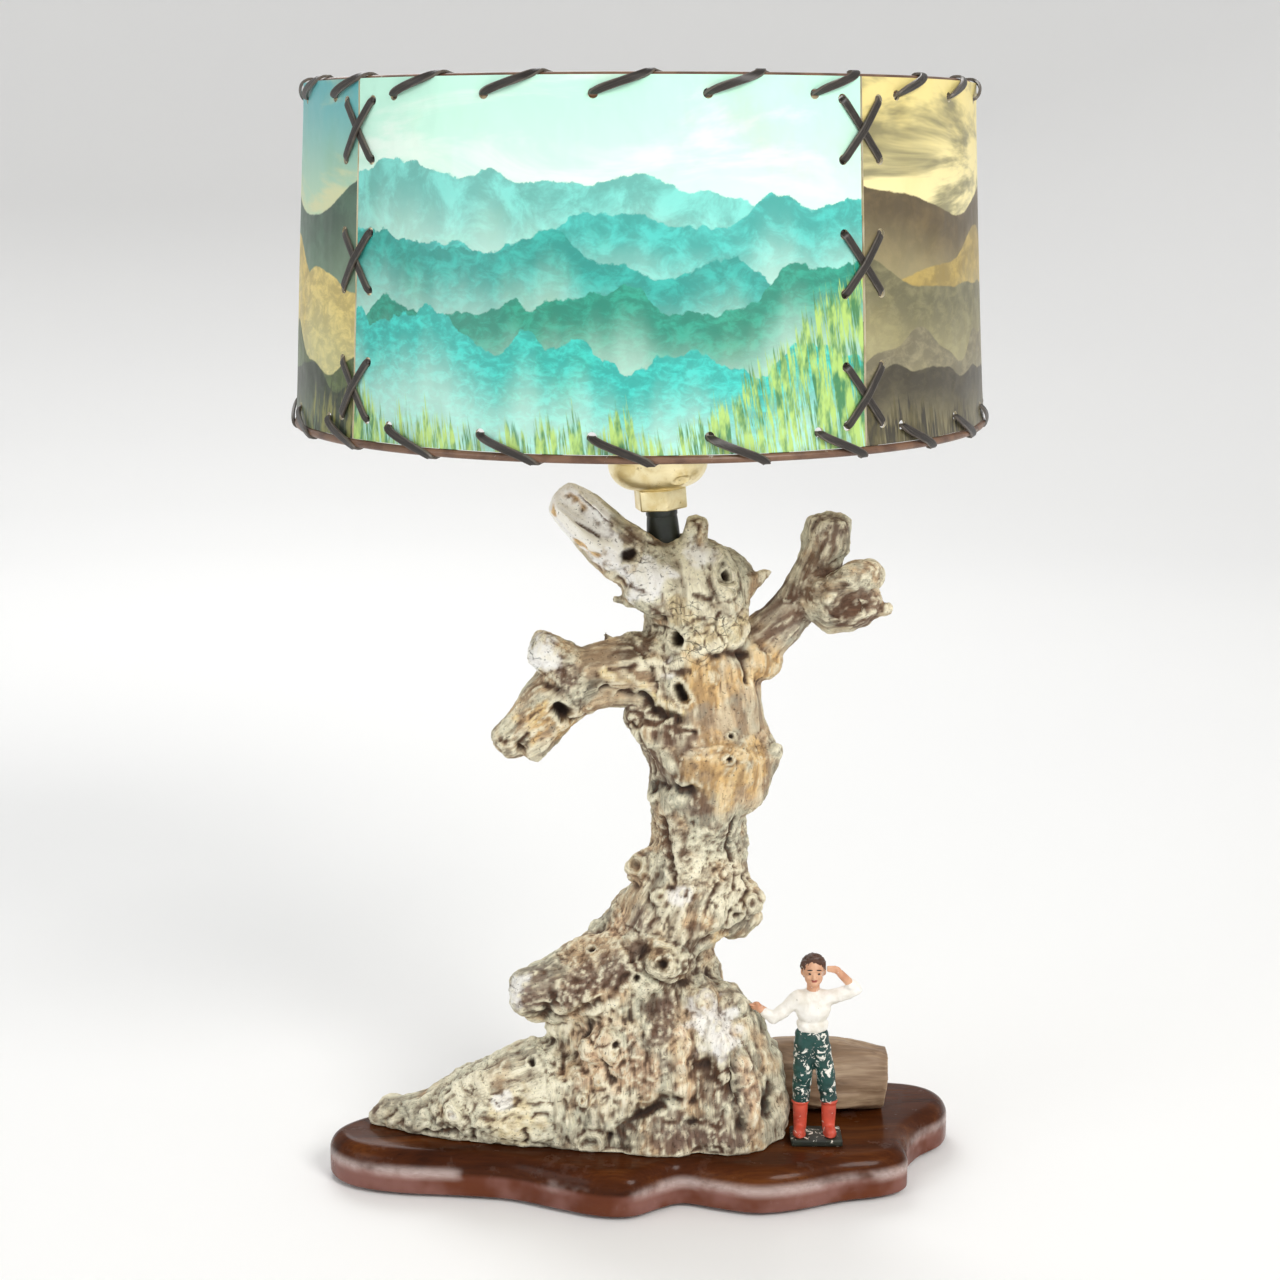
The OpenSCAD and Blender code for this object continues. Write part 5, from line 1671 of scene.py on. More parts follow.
@dataclass
class ToyFigure:
    """The painted figure: a look-out with one hand on the wood and one at the brow."""

    origin: Point = (73.4, -15.0, 19.5)
    voxel: float = 0.42
    plinth_size: Point = (21.0, 15.0, 3.0)
    plinth_place: Point = (-1.0, -0.5, 1.5)
    plinth_bevel: float = 0.8
    finishes: Mapping[str, Coating] = field(default_factory=lambda: {
        "shirt": Coating("shirt_paint", *paints("f4f1ea dcd6c8 9a8f80"), 0.25, 330, 0.5),
        "trousers": Coating("trouser_paint", *paints("12453f 0c332f e9e6dc"), 0.85, 300, 0.4),
        "boots": Coating("boot_paint", *paints("d4553f b0402f ead0c0"), 0.5, 330, 0.4),
        "skin": Coating("skin_paint", *paints("dcae8c c98f6e efe9df"), 0.6, 340, 0.45),
        "hair": Coating("hair_paint", *paints("5d3a28 40271b d8cfc2"), 0.55, 300, 0.5),
        "plinth": Coating("plinth_paint", *paints("2b2f24 1d211a e2ddd0"), 0.75, 300, 0.5),
        "dark": Coating("eye_paint", *paints("2a201b 1c1512 4a3a30"), 0.0, 300, 0.35),
        "lips": Coating("lip_paint", *paints("a8564a 8c4339 c98f6e"), 0.0, 300, 0.4),
    })

    def build(self) -> None:
        """Makes the figure's painted parts and joins them."""
        forms = {"trousers": self._trousers(), "shirt": self._shirt(), "boots": self._boots(),
                 "skin": self._skin(), "hair": self._hair(), "plinth": self._plinth(),
                 "dark": self._eyes(), "lips": self._lips()}
        for key, form in forms.items():
            wear(form, self.finishes[key].material())
        figure = join(list(forms.values()))
        figure.name = "toy_figure"
        figure.data.name = "toy_figure"
        seat(figure, "stand", "figure_paint", "figurine")

    def _clay(self) -> Clay:
        """Starts a form at the figure's place."""
        return Clay(self.origin)

    def _folds(self, form: Piece, depth: float, reach: float, squeeze: float) -> Piece:
        """Lays folds into a cloth form.

        Args:
            form: The form.
            depth: Depth of the folds.
            reach: Distance between them.
            squeeze: How much longer they are across than up and down.

        Returns:
            The form.
        """
        points = points_of(form)
        folds = cloud(points * np.array([1 / squeeze, 1 / squeeze, 1.0]), reach, 2, 1.7)
        move_points(form, points + normals_of(form) * (depth * folds)[:, None])
        return form

    def _trousers(self) -> Piece:
        """Models the trousers."""
        clay = self._clay()
        clay.ball((-3.1, 0.2, 45.5), (7.0, 5.0, 5.0))
        clay.bar((-5.8, 0, 43), 4.7, (-6.7, -0.9, 29), 3.9)
        clay.bar((-6.7, -0.9, 29), 3.9, (-7.4, 0.2, 17.5), 3.5)
        clay.bar((-0.6, 0, 43), 4.7, (2.8, -0.9, 29), 3.9)
        clay.bar((2.8, -0.9, 29), 3.9, (4.1, 0.2, 17.5), 3.5)
        return self._folds(clay.fuse("trousers", self.voxel, 4), 0.55, 3.4, 2.2)

    def _shirt(self) -> Piece:
        """Models the shirt with its sleeves, belt line and collar."""
        clay = self._clay()
        clay.ball((-3.1, 0, 50), (6.6, 4.6, 4.2)).ball((-3, -0.5, 57), (7.4, 5.0, 6.5))
        clay.bar((-8.2, 0, 61.5), 3.8, (2.4, 0, 61.5), 3.8)
        clay.ball((-3, 0.4, 63.5), (4.2, 3.4, 2.6))
        clay.bar((-9, 0, 61.6), 3.3, (-15.5, -0.7, 56), 2.9)
        clay.bar((4, 0, 61.8), 3.3, (11.3, -0.7, 64.6), 2.9)
        clay.bar((-15.5, -0.7, 56), 2.9, (-19, -1, 53.6), 2.7)
        clay.bar((-19, -1, 53.6), 2.7, (-22, -0.6, 55.4), 2.3)
        clay.bar((11.3, -0.7, 64.6), 2.9, (14, -1, 65.8), 2.7)
        clay.bar((14, -1, 65.8), 2.7, (11.8, -2, 68.4), 2.3)
        return self._folds(clay.fuse("shirt", self.voxel, 4), 0.45, 3.0, 1.4)

    def _boots(self) -> Piece:
        """Models the boots with turned-over tops, heels and soles."""
        clay = self._clay()
        for x, toe in ((-7.5, -8.3), (4.2, 5.0)):
            clay.bar((x, 0.4, 6), 2.7, (x, 0.2, 16.5), 3.2)
            clay.ball((x, 0.2, 17), (3.8, 3.8, 1.3))
            clay.bar((x, 0.6, 5.2), 2.6, (toe, -4.6, 4.7), 2.2)
            clay.ball(((x + toe) / 2, -1.9, 3.5), (2.9, 5.2, 0.8))
        return clay.fuse("boots", self.voxel, 3)

    def _skin(self) -> Piece:
        """Models the head with a calm, plain face, the neck, the forearms and the hands."""
        clay = self._clay()
        clay.bar((-3, 0.2, 63), 2.7, (-3, 0, 69), 2.6)
        clay.ball((-3, -0.3, 74), (4.6, 5.3, 5.6)).ball((-3, -1.5, 70.8), (3.7, 3.9, 3.4))
        clay.ball((-3, -4.6, 69.2), (1.7, 1.3, 1.3)).ball((-3, -5.0, 74.9), (3.4, 0.9, 0.7))
        clay.bar((-3, -5.1, 74), 0.55, (-3, -6.1, 72), 0.8)
        clay.ball((-7.5, 0, 73), (0.7, 1.3, 1.8)).ball((1.5, 0, 73), (0.7, 1.3, 1.8))
        clay.ball((-5, -4.4, 71.9), (1.3, 0.9, 1.1)).ball((-1, -4.4, 71.9), (1.3, 0.9, 1.1))
        clay.bar((-21, -0.8, 54.8), 1.9, (-25, 0, 57.4), 1.7)
        clay.ball((-26.3, 0, 58.2), (2.1, 1.3, 1.7), (0, -30, 0))
        for i in range(4):
            clay.bar((-26.6, -1.2 + 0.8 * i, 58.6), 0.5, (-28.6, -1.4 + 0.9 * i, 59.2 - 0.3 * i), 0.45)
        clay.bar((-25.6, -1.4, 58.4), 0.55, (-25.8, -2.2, 60.2), 0.5)
        clay.bar((12.4, -1.7, 67.8), 1.9, (7.6, -3.9, 73.4), 1.6)
        clay.ball((6.2, -4.6, 75), (2.2, 1.0, 1.6), (0, 38, 0))
        for i in range(4):
            clay.bar((5.4, -4.9, 74.4 + 0.75 * i), 0.5, (2.3, -5.6, 75.2 + 0.6 * i), 0.42)
        return clay.fuse("skin", 0.34, 2)

    def _hair(self) -> Piece:
        """Models short hair with locks."""
        clay = self._clay()
        clay.ball((-3, 0.7, 75.2), (5.2, 5.3, 5.0)).ball((-3, 2.6, 71.8), (4.5, 3.2, 3.6))
        clay.bar((-6.9, -1.4, 77), 1.3, (-0.6, -3.2, 78.4), 1.5)
        clay.bar((-7.4, 0.6, 75.5), 1.0, (-7.4, 0.8, 72.8), 0.7)
        clay.bar((1.3, 0.6, 75.5), 1.0, (1.3, 0.8, 72.8), 0.7)
        return self._folds(clay.fuse("hair", 0.38, 3), 0.4, 1.5, 0.5)

    def _plinth(self) -> Piece:
        """Models the thin plinth with bevelled edges."""
        deselect()
        at = (np.array(self.origin) + self.plinth_place) * MM
        bpy.ops.mesh.primitive_cube_add(size=1.0, location=at, scale=[v * MM for v in self.plinth_size])
        plinth = named("plinth")
        with all_in_edit(plinth):
            bpy.ops.mesh.bevel(offset=self.plinth_bevel * MM, segments=3, affect="EDGES")
            bpy.ops.mesh.subdivide(number_cuts=3)
        shade_smooth(plinth, 35)
        return plinth

    def _eyes(self) -> Piece:
        """Models the painted eyes and brows."""
        clay = self._clay()
        for x in (-4.8, -1.2):
            clay.ball((x, -5.05, 73.6), (0.62, 0.4, 0.42))
            clay.ball((x, -5.45, 75.3), (1.15, 0.4, 0.26))
        eyes = join(clay.lumps)
        shade_smooth(eyes)
        return eyes

    def _lips(self) -> Piece:
        """Models the closed lips."""
        clay = self._clay()
        clay.ball((-3, -5.25, 70.85), (1.35, 0.5, 0.28)).ball((-3, -5.2, 70.35), (1.1, 0.5, 0.3))
        lips = join(clay.lumps)
        shade_smooth(lips)
        return lips


# Lamp holder and bulb


@dataclass
class LampHolder:
    """The leaning neck, the brass cap and the parts inside the shade."""

    seat_place: Point = (9.5132, 0.0, 266.0)
    lean: float = 4.4
    foot: float = 14.0
    hex_r: float = 10.9
    hex_h: float = 8.5
    hex_turn: float = 12.0
    hex_bevel: float = 0.7
    bore_r: float = 5.3
    cap_r: float = 19.7
    bowl_h: float = 13.5
    wall: float = 0.9
    stamp_turn: float = -62.0
    spacer_h: float = 14.0
    spacer_foot_r: float = 6.8
    spacer_top_r: float = 6.0
    brass: Metal = Metal("brass", *paints("f4e6ba e2cd94 6b5330"), 0.34, 0.55)
    steel: Metal = Metal("steel", *paints("c9c7c2 a5a29b 5c554c"), 0.32, 0.4)

    def build(self) -> None:
        """Makes the cap and the spacer and dresses the other pieces."""
        nodes = frame["nodes"]
        brass = self.brass.material()
        steel = self.steel.material()
        self._cap(brass)
        self._spacer()
        moulded = Coating("black_moulding", *paints("191817 262320 3a3530"), 0.0, 260, 0.35, 0.05)
        brown = Coating("brown_moulding", *paints("3d2417 2b180f 57402f"), 0.0, 260, 0.35, 0.05)
        fibre = Coating("fibre_sleeve", *paints("a88f66 8a7350 6b5a40"), 0.2, 220, 0.8, 0.15)
        black = moulded.material()
        for names, material in (
                (("socket_shell", "screw_shell", "centre_contact", "terminal_screws"), brass),
                (("nipple", "switch_shaft", "base_screws", "bulb_tip"), steel),
                (("left_bulb_clip", "right_bulb_clip"), steel),
                (("switch_key", "cord_bushing", "bulb_insulator"), black),
                (("socket_body",), brown.material()), (("insulating_sleeve",), fibre.material())):
            for name in names:
                wear(nodes[name], material)
        wear(nodes["bulb_glass"], OpalGlass().material())
        tin = Metal("bulb_tin", *paints("dcdbd6 bdbab2 6e675c"), 0.3, 0.4)
        wear(nodes["bulb_screw_cap"], tin.material())

    def _lean(self, piece: Piece) -> None:
        """Moves an upright piece onto the leaning axis."""
        turn = Matrix.Rotation(math.radians(-self.lean), 4, "Y")
        piece.data.transform(Matrix.Translation(Vector(self.seat_place) * MM) @ turn)
        piece.data.update()

    def _bowl_section(self) -> Array:
        """Draws the bowl's wall: out along the outside and back along the inside."""
        z0 = self.foot + self.hex_h
        round_r = 0.74 * self.bowl_h
        rim = self.cap_r
        middle = rim - round_r
        turn = np.radians(np.linspace(-78, 0, 22))
        outer = [(self.bore_r, z0), (8.4, z0), (9.4, z0 + 0.15), (10.2, z0 + 0.35), (11.0, z0 + 0.5)]
        outer += [(middle + round_r * math.cos(a), z0 + round_r * (1 + math.sin(a))) for a in turn]
        top = z0 + self.bowl_h
        outer += [(rim, top - 2.2), (rim + 0.35, top - 1.7), (rim + 0.4, top - 0.9),
                  (rim + 0.1, top - 0.1), (rim - 0.4, top), (rim - self.wall, top - 0.2)]
        inner_r = round_r - self.wall
        inner = [(middle + inner_r * math.cos(a), z0 + round_r + inner_r * math.sin(a))
                 for a in turn[::-1]]
        inner += [(9.5, z0 + 1.9), (self.bore_r, z0 + 1.9)]
        return np.array(outer + inner)

    def _cap(self, brass: Material) -> None:
        """Models the cap: a turned bowl on a hexagonal neck, with an oval stamp.

        Args:
            brass: Its material.
        """
        bowl = lathe("socket_bowl", self._bowl_section(), 128)
        points = points_of(bowl)
        turn = np.degrees(np.arctan2(points[:, 1], points[:, 0])) - self.stamp_turn
        outside = np.hypot(points[:, 0], points[:, 1]) > 14
        oval = np.hypot(turn / 13.0, (points[:, 2] - self.foot - self.hex_h - 4.6) / 2.0)
        press = (0.45 * np.exp(-((oval - 1) / 0.28) ** 2) - 0.25 * (oval < 0.8)) * outside
        move_points(bowl, points + normals_of(bowl) * press[:, None])
        deselect()
        bpy.ops.mesh.primitive_cylinder_add(vertices=6, radius=self.hex_r * MM, depth=self.hex_h * MM,
                                            location=(0, 0, (self.foot + self.hex_h / 2) * MM),
                                            rotation=(0, 0, math.radians(self.hex_turn)))
        neck = named("socket_hex")
        with all_in_edit(neck):
            bpy.ops.mesh.bevel(offset=self.hex_bevel * MM, segments=3, affect="EDGES")
        self._bore(neck)
        cap = join([bowl, neck])
        cap.name = "brass_socket_cap"
        cap.data.name = cap.name
        self._lean(cap)
        shade_smooth(cap, 32)
        wear(cap, brass)
        seat(cap, "stand", "brass", "socket_cap")

    def _bore(self, neck: Piece) -> None:
        """Drills the hole for the nipple through the hexagon."""
        deselect()
        bpy.ops.mesh.primitive_cylinder_add(vertices=64, radius=self.bore_r * MM, depth=50 * MM,
                                            location=(0, 0, self.foot * MM))
        drill = named("drill")
        shape(neck, "BOOLEAN", operation="DIFFERENCE", object=drill, solver="EXACT")
        bpy.data.objects.remove(drill)

    def _spacer(self) -> None:
        """Models the dark spacer: a tapered sleeve with a collar and a band, its paint chipped."""
        foot, top, h, bore = self.spacer_foot_r, self.spacer_top_r, self.spacer_h, self.bore_r
        section = [(bore, 0), (foot - 0.3, 0), (foot, 0.3), (foot, 1.8), (foot - 0.25, 2.2)]
        section += [(foot - 0.25 + (top - foot) * t * t * 0.7, 2.2 + (h - 5) * t)
                    for t in np.linspace(0.15, 1, 8)]
        section += [(top + 0.25, h - 2.4), (top + 0.3, h - 0.5), (top, h - 0.05), (bore, h - 0.05)]
        spacer = lathe("neck_sleeve", np.array(section), 64)
        self._lean(spacer)
        shade_smooth(spacer, 35)
        coat = Coating("dark_sleeve", *paints("2a302b 1b201d 6a6a58"), 0.3, 260, 0.42)
        wear(spacer, coat.material())
        seat(spacer, "stand", "dark_paint", "neck_spacer")


# Shade


@dataclass
class Shade:
    """The drum shade: four printed panels, two wire rings and the lacing."""

    low: float = 318.134
    height: float = 124.5
    low_r: float = 132.5
    top_r: float = 126.0
    sheet: float = 1.0
    gap: float = 0.8
    starts: tuple[float, ...] = (-140.0, -54.0, 40.0, 126.0)
    spans: tuple[float, ...] = (86.0, 94.0, 86.0, 94.0)
    stitches: tuple[int, ...] = (5, 6, 5, 6)
    names: tuple[str, ...] = ("front_panel", "right_panel", "back_panel", "left_panel")
    hole_in: float = 6.0
    hole_r: float = 1.75
    cross_w: float = 8.0
    cross_h: float = 10.0
    cross_in: float = 17.5
    crosses: int = 3
    wire_r: float = 1.4
    top_ring_in: float = 2.4
    top_ring_drop: float = 0.4
    lace_w: float = 2.8
    lace_t: float = 0.95

    @property
    def top(self) -> float:
        """Height of the panels' top edge."""
        return self.low + self.height

    def radius(self, z: Array | float) -> Array | float:
        """Radius of the panels' middle at a height."""
        return self.low_r + (self.top_r - self.low_r) * (z - self.low) / self.height

    def on(self, angle: Array | float, arc: Array | float, out: Array | float, z: Array | float) -> Array:
        """Finds a point on the shade.

        Args:
            angle: Angle round it, in degrees.
            arc: Distance along the panel from there.
            out: Distance outwards from the panel's middle.
            z: Height.

        Returns:
            The point or points.
        """
        a = np.radians(angle) + np.asarray(arc) / self.radius(z)
        r = self.radius(z) + out
        return np.stack(np.broadcast_arrays(r * np.cos(a), r * np.sin(a), z), axis=-1)

    def hole_angles(self, i: int) -> list[float]:
        """Angles of the rim holes of a panel."""
        count = self.stitches[i]
        return [self.starts[i] + self.spans[i] * (k + 0.5) / count for k in range(count)]

    def cross_heights(self) -> list[float]:
        """Heights of the crosses' middles, from the top."""
        step = (self.height - 2 * self.cross_in) / (self.crosses - 1)
        return [self.top - self.cross_in - k * step for k in range(self.crosses)]

    def prints(self) -> list[Print]:
        """Lists the panels' prints."""
        aqua = dict(scene=Scene.MISTY_HILLS, sky=paints("bff2dc d9f7e6 eefbf0"),
                    layers=paints("7fdcd0 4fc9bf 39b7ab 2fa58c 3fd0c4"),
                    grass=paints("b6d66a 3f7d45"))
        dusk = dict(scene=Scene.DUNES, sky=paints("e9d78d f3e7ae 6d6a4f"),
                    layers=paints("6a5a3c b29a55 7f7a58 8c8468 4d4634"),
                    grass=paints("2c2820 5a5232"))
        noon = dict(scene=Scene.DUNES, sky=paints("5fb0b4 bcd9b4 d9d9a8"),
                    layers=paints("4d6b58 d8bf68 e3cd7c 5a6b3c 33402a"),
                    grass=paints("1f2a1c 8a8a48"))
        kinds = ((aqua, 2.7, False), (dusk, 5.2, False), (aqua, 11.9, True), (noon, 8.4, True))
        return [Print(name=name.replace("panel", "print"), start=self.starts[i], span=self.spans[i],
                      low=self.low, height=self.height, seed=seed, mirrored=flip, **kind)
                for i, (name, (kind, seed, flip)) in enumerate(zip(self.names, kinds))]

    def build(self) -> None:
        """Makes the panels and the laces and dresses the rings."""
        back = Parchment().material()
        edge = Coating("panel_edge", *paints("efe8d2 d8cba6 8a7a58"), 0.2, 300, 0.7).material()
        for i, printed in enumerate(self.prints()):
            self._panel(i, printed.material(), back, edge)
        wire = Coating("ring_paint", *paints("7a5a44 5c4030 a39a8c"), 0.35, 200, 0.4).material()
        for name in ("top_ring", "bottom_ring"):
            wear(frame["nodes"][name], wire)
        lace = Lace().material()
        self._rim_lace("top_rim_lace", self.top, 1, lace, "top_lacing")
        self._rim_lace("bottom_rim_lace", self.low, -1, lace, "bottom_lacing")
        seams = ("front_left_seam_lacing", "front_right_seam_lacing", "back_right_seam_lacing",
                 "back_left_seam_lacing")
        for i, node in enumerate(seams):
            self._seam_lace(node.replace("lacing", "lace"), i, lace, node)

    def _panel(self, i: int, front: Material, back: Material, edge: Material) -> None:
        """Models a panel: a curved sheet, drawn in a little at the stitches, with punched holes.

        Args:
            i: The panel's number.
            front: The print.
            back: The inside's material.
            edge: The cut edge's material.
        """
        deselect()
        bpy.ops.mesh.primitive_grid_add(x_subdivisions=96, y_subdivisions=44, size=2.0)
        panel = named(self.names[i].replace("panel", "sheet"))
        flat = points_of(panel) * MM
        u, v = (flat[:, 0] + 1) / 2, (flat[:, 1] + 1) / 2
        trim = math.degrees(0.5 * self.gap / self.top_r)
        angle = self.starts[i] + trim + u * (self.spans[i] - 2 * trim)
        z = self.low + v * self.height
        phase = (u * self.stitches[i] - 0.5) * 2 * math.pi
        rim = np.exp(-((self.top - z) / 9) ** 2) + np.exp(-((z - self.low) / 9) ** 2)
        bulge = 0.35 * np.sin(math.pi * v) * np.sin(2 * math.pi * u + i) - 0.22 * rim * np.cos(phase)
        move_points(panel, self.on(angle, 0.0, bulge, z))
        wear(panel, front, back, edge)
        recalculate(panel, 0.001)
        self._face_out(panel)
        shape(panel, "SOLIDIFY", thickness=self.sheet * MM, offset=0.0, material_offset=1,
              material_offset_rim=2)
        self._punch(panel, i)
        shade_smooth(panel, 40)
        slot = "front_print" if i % 2 == 0 else "side_print"
        seat(panel, "shade", slot, self.names[i])

    def _face_out(self, panel: Piece) -> None:
        """Turns a sheet over if it faces the shade's axis."""
        middle = panel.data.polygons[len(panel.data.polygons) // 2]
        if middle.normal.x * middle.center.x + middle.normal.y * middle.center.y < 0:
            with all_in_edit(panel):
                bpy.ops.mesh.flip_normals()

    def _punch(self, panel: Piece, i: int) -> None:
        """Punches the lace holes through a panel."""
        places = [self.on(a, 0.0, 0.0, z) for a in self.hole_angles(i)
                  for z in (self.low + self.hole_in, self.top - self.hole_in)]
        end = self.starts[i] + self.spans[i]
        for middle in self.cross_heights():
            for z in (middle - self.cross_h, middle + self.cross_h):
                places.append(self.on(self.starts[i], self.cross_w, 0.0, z))
                places.append(self.on(end, -self.cross_w, 0.0, z))
        punches = []
        for place in places:
            deselect()
            bpy.ops.mesh.primitive_cylinder_add(
                vertices=20, radius=self.hole_r * MM, depth=8 * MM, location=place * MM,
                rotation=(0, math.pi / 2, math.atan2(place[1], place[0])))
            punches.append(named("punch"))
        punch = join(punches)
        wear(punch, panel.data.materials[2])
        shape(panel, "BOOLEAN", operation="DIFFERENCE", object=punch, solver="EXACT")
        bpy.data.objects.remove(punch)

    def _ribbon(self, name: str, path: Array, across: Array, lace: Material, node: str) -> None:
        """Models a flat lace along a path.

        Args:
            name: The lace's name.
            path: The points that its middle follows.
            across: The direction of its width at each of them.
            lace: Its material.
            node: The CAD node that it stands for.
        """
        rows = 2
        deselect()
        bpy.ops.mesh.primitive_grid_add(x_subdivisions=len(path) - 1, y_subdivisions=rows, size=2.0)
        ribbon = named(name)
        flat = points_of(ribbon) * MM
        i = np.rint((flat[:, 0] + 1) / 2 * (len(path) - 1)).astype(int)
        side = flat[:, 1]
        move_points(ribbon, path[i] + across[i] * (side * 0.5 * self.lace_w)[:, None])
        run = np.concatenate([[0], np.cumsum(np.linalg.norm(np.diff(path, axis=0), axis=1))])
        keep_attribute(ribbon, "across", "FLOAT", side)
        keep_attribute(ribbon, "along", "FLOAT", run[i] * MM)
        shape(ribbon, "SOLIDIFY", thickness=self.lace_t * MM, offset=0.0)
        shape(ribbon, "BEVEL", width=0.28 * self.lace_t * MM, segments=2, limit_method="ANGLE",
              angle_limit=math.radians(50))
        shade_smooth(ribbon, 50)
        wear(ribbon, lace)
        seat(ribbon, "shade", "lace", node)

    def _rim_lace(self, name: str, edge: float, up: int, lace: Material, node: str) -> None:
        """Models a whip-stitched rim lace, which goes round the wire and through each hole in turn.

        Args:
            name: The lace's name.
            edge: Height of the panels' edge.
            up: 1 at the top rim, -1 at the bottom rim.
            lace: Its material.
            node: The CAD node that it stands for.
        """
        holes = [a - 360 for a in self.hole_angles(2) + self.hole_angles(3)]
        holes += self.hole_angles(0) + self.hole_angles(1)
        holes.append(holes[0] + 360)
        slack = self.lace_t / 2 + 0.2
        out_w = self.wire_r + slack + 0.1
        in_w, shift, reach = out_w, 0.0, 2 * self.wire_r + slack
        if up > 0:
            in_w, shift = 2 * self.wire_r + slack + 0.9, -0.85 * self.top_ring_in
            reach = self.wire_r - self.top_ring_drop + slack
        rows: list[Array] = []
        outs: list[Array] = []
        for k in range(len(holes) - 1):
            last = k == len(holes) - 2
            f = np.radians(np.linspace(0, 290 if last else 360, 34, endpoint=last))
            share = (f - 0.5 * np.sin(2 * f)) / (2 * math.pi)
            a = np.radians(holes[k] + (holes[k + 1] - holes[k]) * share)
            bow = np.where(f < math.pi, out_w, -in_w) * np.abs(np.sin(f)) ** 0.75
            over = 0.5 * (1 - np.cos(f))
            z = edge + up * ((reach + self.hole_in) * over - self.hole_in)
            lean = (self.radius(edge - up * self.hole_in) - self.radius(edge)) * (1 - over)
            r = self.radius(edge) + lean + shift * over ** 4 + bow
            rows.append(np.column_stack([r * np.cos(a), r * np.sin(a), z]))
            flat = 2 * np.sin(f) / (out_w + in_w)
            outs.append(np.column_stack([flat * np.cos(a), flat * np.sin(a),
                                         -2 * up * np.cos(f) / (reach + self.hole_in)]))
        path, out = np.concatenate(rows), unit(np.concatenate(outs))
        self._ribbon(name, path, unit(np.cross(np.gradient(path, axis=0), out)), lace, node)

    def _seam_lace(self, name: str, i: int, lace: Material, node: str) -> None:
        """Models the crosses along a seam as one lace that also runs up and down inside.

        Args:
            name: The lace's name.
            i: Number of the panel that starts at the seam.
            lace: Its material.
            node: The CAD node that it stands for.
        """
        out = self.sheet / 2 + self.lace_t / 2 + 0.12
        w, h, angle = self.cross_w, self.cross_h, self.starts[i]
        corners: list[tuple[float, float, float]] = []
        for z in self.cross_heights():
            over = out + self.lace_t + 0.15
            for side, middle in ((-w, out), (w, over)):
                corners += [(side, -out, z + h), (side, out, z + h), (0.0, middle, z),
                            (-side, out, z - h), (-side, -out, z - h)]
        rows: list[Array] = []
        for start, end in zip(corners[:-1], corners[1:]):
            steps = max(3, int(np.linalg.norm(np.subtract(end, start)) / 1.0))
            t = np.linspace(0, 1, steps, endpoint=False)[:, None]
            rows.append(np.array(start) + (np.array(end) - np.array(start)) * t)
        route = np.concatenate(rows + [np.array([corners[-1]])])
        for _ in range(2):
            route[1:-1] = 0.25 * route[:-2] + 0.5 * route[1:-1] + 0.25 * route[2:]
        path = self.on(angle, route[:, 0], route[:, 1], route[:, 2])
        radial = unit(path * np.array([1.0, 1.0, 0.0]))
        way = unit(np.gradient(path, axis=0))
        across = np.cross(way, radial)
        weak = np.linalg.norm(across, axis=1) < 0.55
        good = np.where(~weak)[0]
        known = unit(across)[good]
        steps = np.arange(len(path))
        filled = np.column_stack([np.interp(steps, good, known[:, k]) for k in range(3)])
        filled = unit(filled - np.einsum("ij,ij->i", filled, way)[:, None] * way)
        self._ribbon(name, path, filled, lace, node)


# Studio


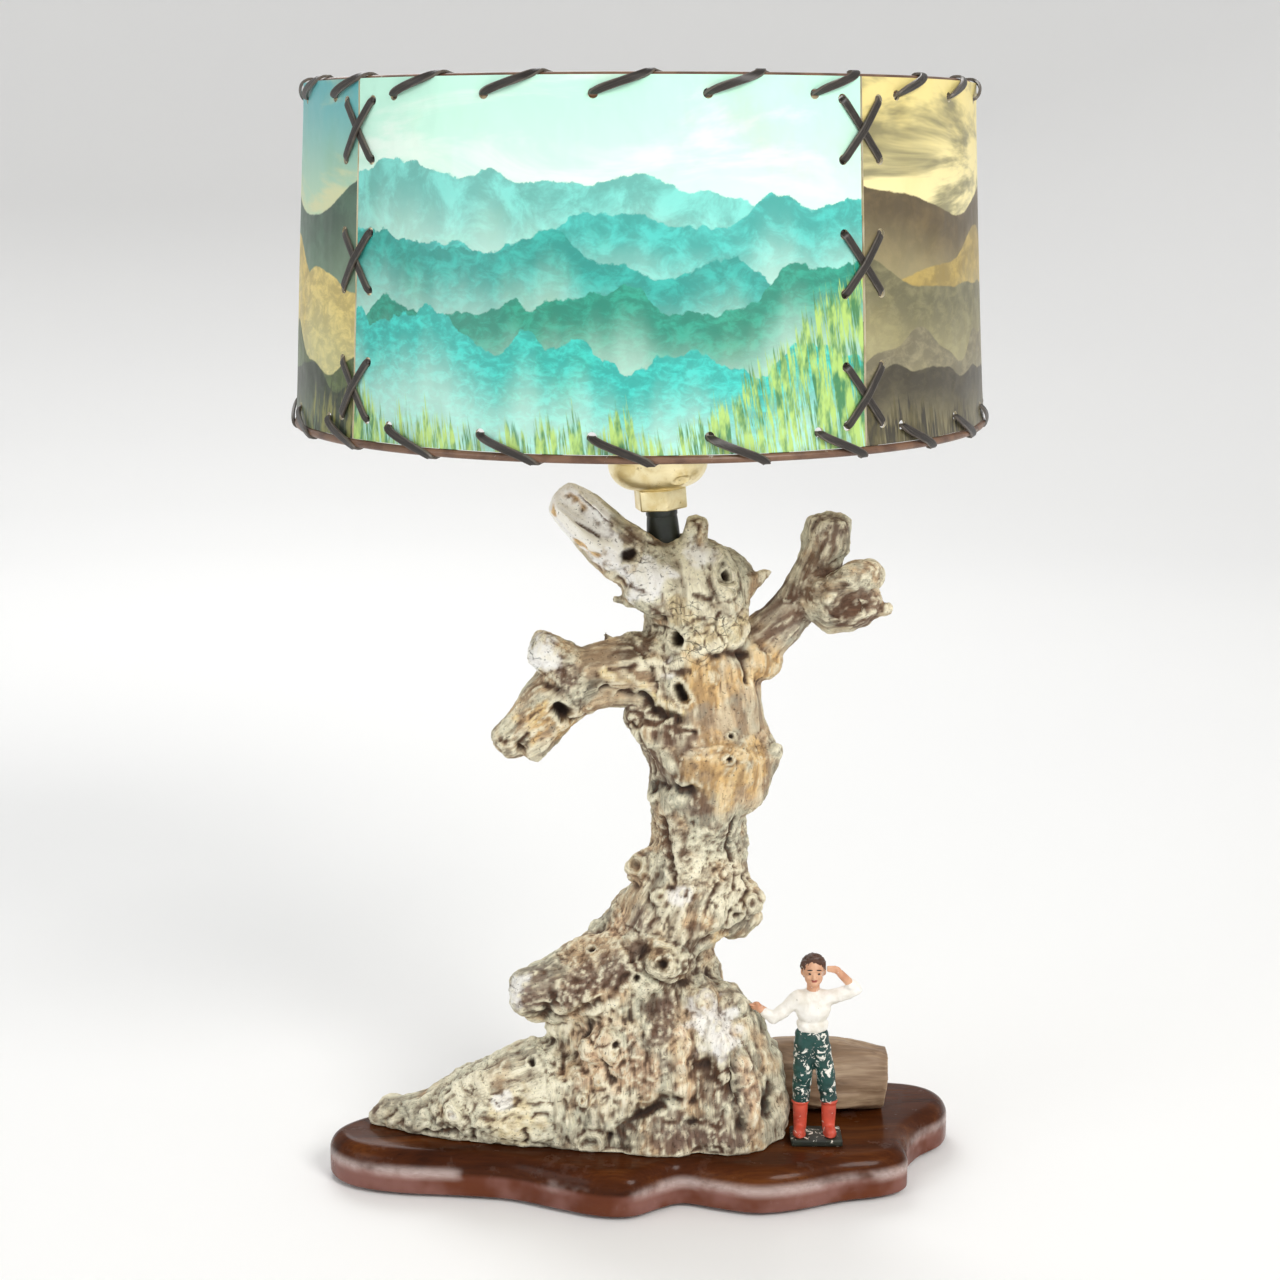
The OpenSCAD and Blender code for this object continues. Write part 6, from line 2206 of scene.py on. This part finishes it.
@dataclass
class Studio:
    """The camera, the floor and the lights."""

    lens: float = 64.6875
    eye: Point = (0.0, -0.9, 0.418)
    pitch: float = 12.0
    floor_r: float = 1.6
    wall_r: float = 3.4
    wall_h: float = 2.6
    under: float = 0.05
    aim: Point = (0.0, 0.0, 0.24)
    sensor: float = 36.0

    def camera(self) -> None:
        """Sets up the camera where the photograph was taken."""
        deselect()
        bpy.ops.object.camera_add(location=self.eye, rotation=(math.radians(90 - self.pitch), 0, 0))
        camera = bpy.context.object
        camera.name = "camera"
        camera.data.lens = self.lens
        camera.data.sensor_width = self.sensor
        camera.data.clip_start = 0.01
        bpy.context.scene.camera = camera
        bpy.context.scene.view_settings.view_transform = "Standard"

    def build(self) -> None:
        """Makes the floor, the lights and the surroundings."""
        self._floor()
        self._lamp("key", (1.1, -1.5, 1.5), 0.9, 28, (1.0, 0.98, 0.95))
        self._lamp("fill", (-1.7, -1.2, 0.9), 1.2, 8, (0.96, 0.98, 1.0))
        self._lamp("rear", (-0.4, 1.5, 1.5), 1.2, 14, (1.0, 1.0, 1.0))
        world = bpy.data.worlds.new("surroundings")
        world.use_nodes = True
        world.node_tree.nodes["Background"].inputs["Color"].default_value = (1.0, 1.0, 1.0, 1.0)
        world.node_tree.nodes["Background"].inputs["Strength"].default_value = 0.5
        bpy.context.scene.world = world

    def _floor(self) -> None:
        """Makes a pale floor that turns up into a wall all round."""
        turn = np.linspace(0, math.pi / 2, 14)
        reach = self.wall_r - self.floor_r
        section = [(0.0, 0.0), (self.floor_r * 0.5, 0.0)]
        section += [(self.floor_r + reach * math.sin(a), self.wall_h * (1 - math.cos(a))) for a in turn]
        rear = self.wall_r + self.under
        section += [(rear, self.wall_h), (rear, -self.under), (0.0, -self.under)]
        floor = lathe("floor", np.array(section) / MM, 96)
        shade_smooth(floor, 60)
        s = Shader("pale_floor")
        tone = s.noise(s.place(), 1.5, 2.0)
        wear(floor, s.dress(s.mix(tone, (0.93, 0.93, 0.92), (0.90, 0.90, 0.90)), 0.8))

    def _lamp(self, name: str, place: Point, size: float, power: float, colour: Colour) -> None:
        """Adds a soft light that faces the object.

        Args:
            name: The light's name.
            place: Where it hangs, in metres.
            size: Its width, in metres.
            power: Its power in watts.
            colour: Its colour.
        """
        deselect()
        way = (Vector(self.aim) - Vector(place)).to_track_quat("-Z", "Y")
        bpy.ops.object.light_add(type="AREA", location=place, rotation=way.to_euler())
        light = bpy.context.object
        light.name = name
        light.data.shape = "DISK"
        light.data.size = size
        light.data.energy = power
        light.data.color = colour


def main() -> None:
    """Builds the lamp, piece by piece."""
    logging.basicConfig(level=logging.INFO, format="%(name)s: %(message)s")
    studio = Studio()
    studio.camera()
    lamp = (BaseBoard(), DriftwoodTrunk(), SideLog(), ToyFigure(), LampHolder(), Shade())
    for assembly in (*lamp, studio):
        assembly.build()
        LOG.info("%s done", type(assembly).__name__)


if __name__ == "__main__":
    main()
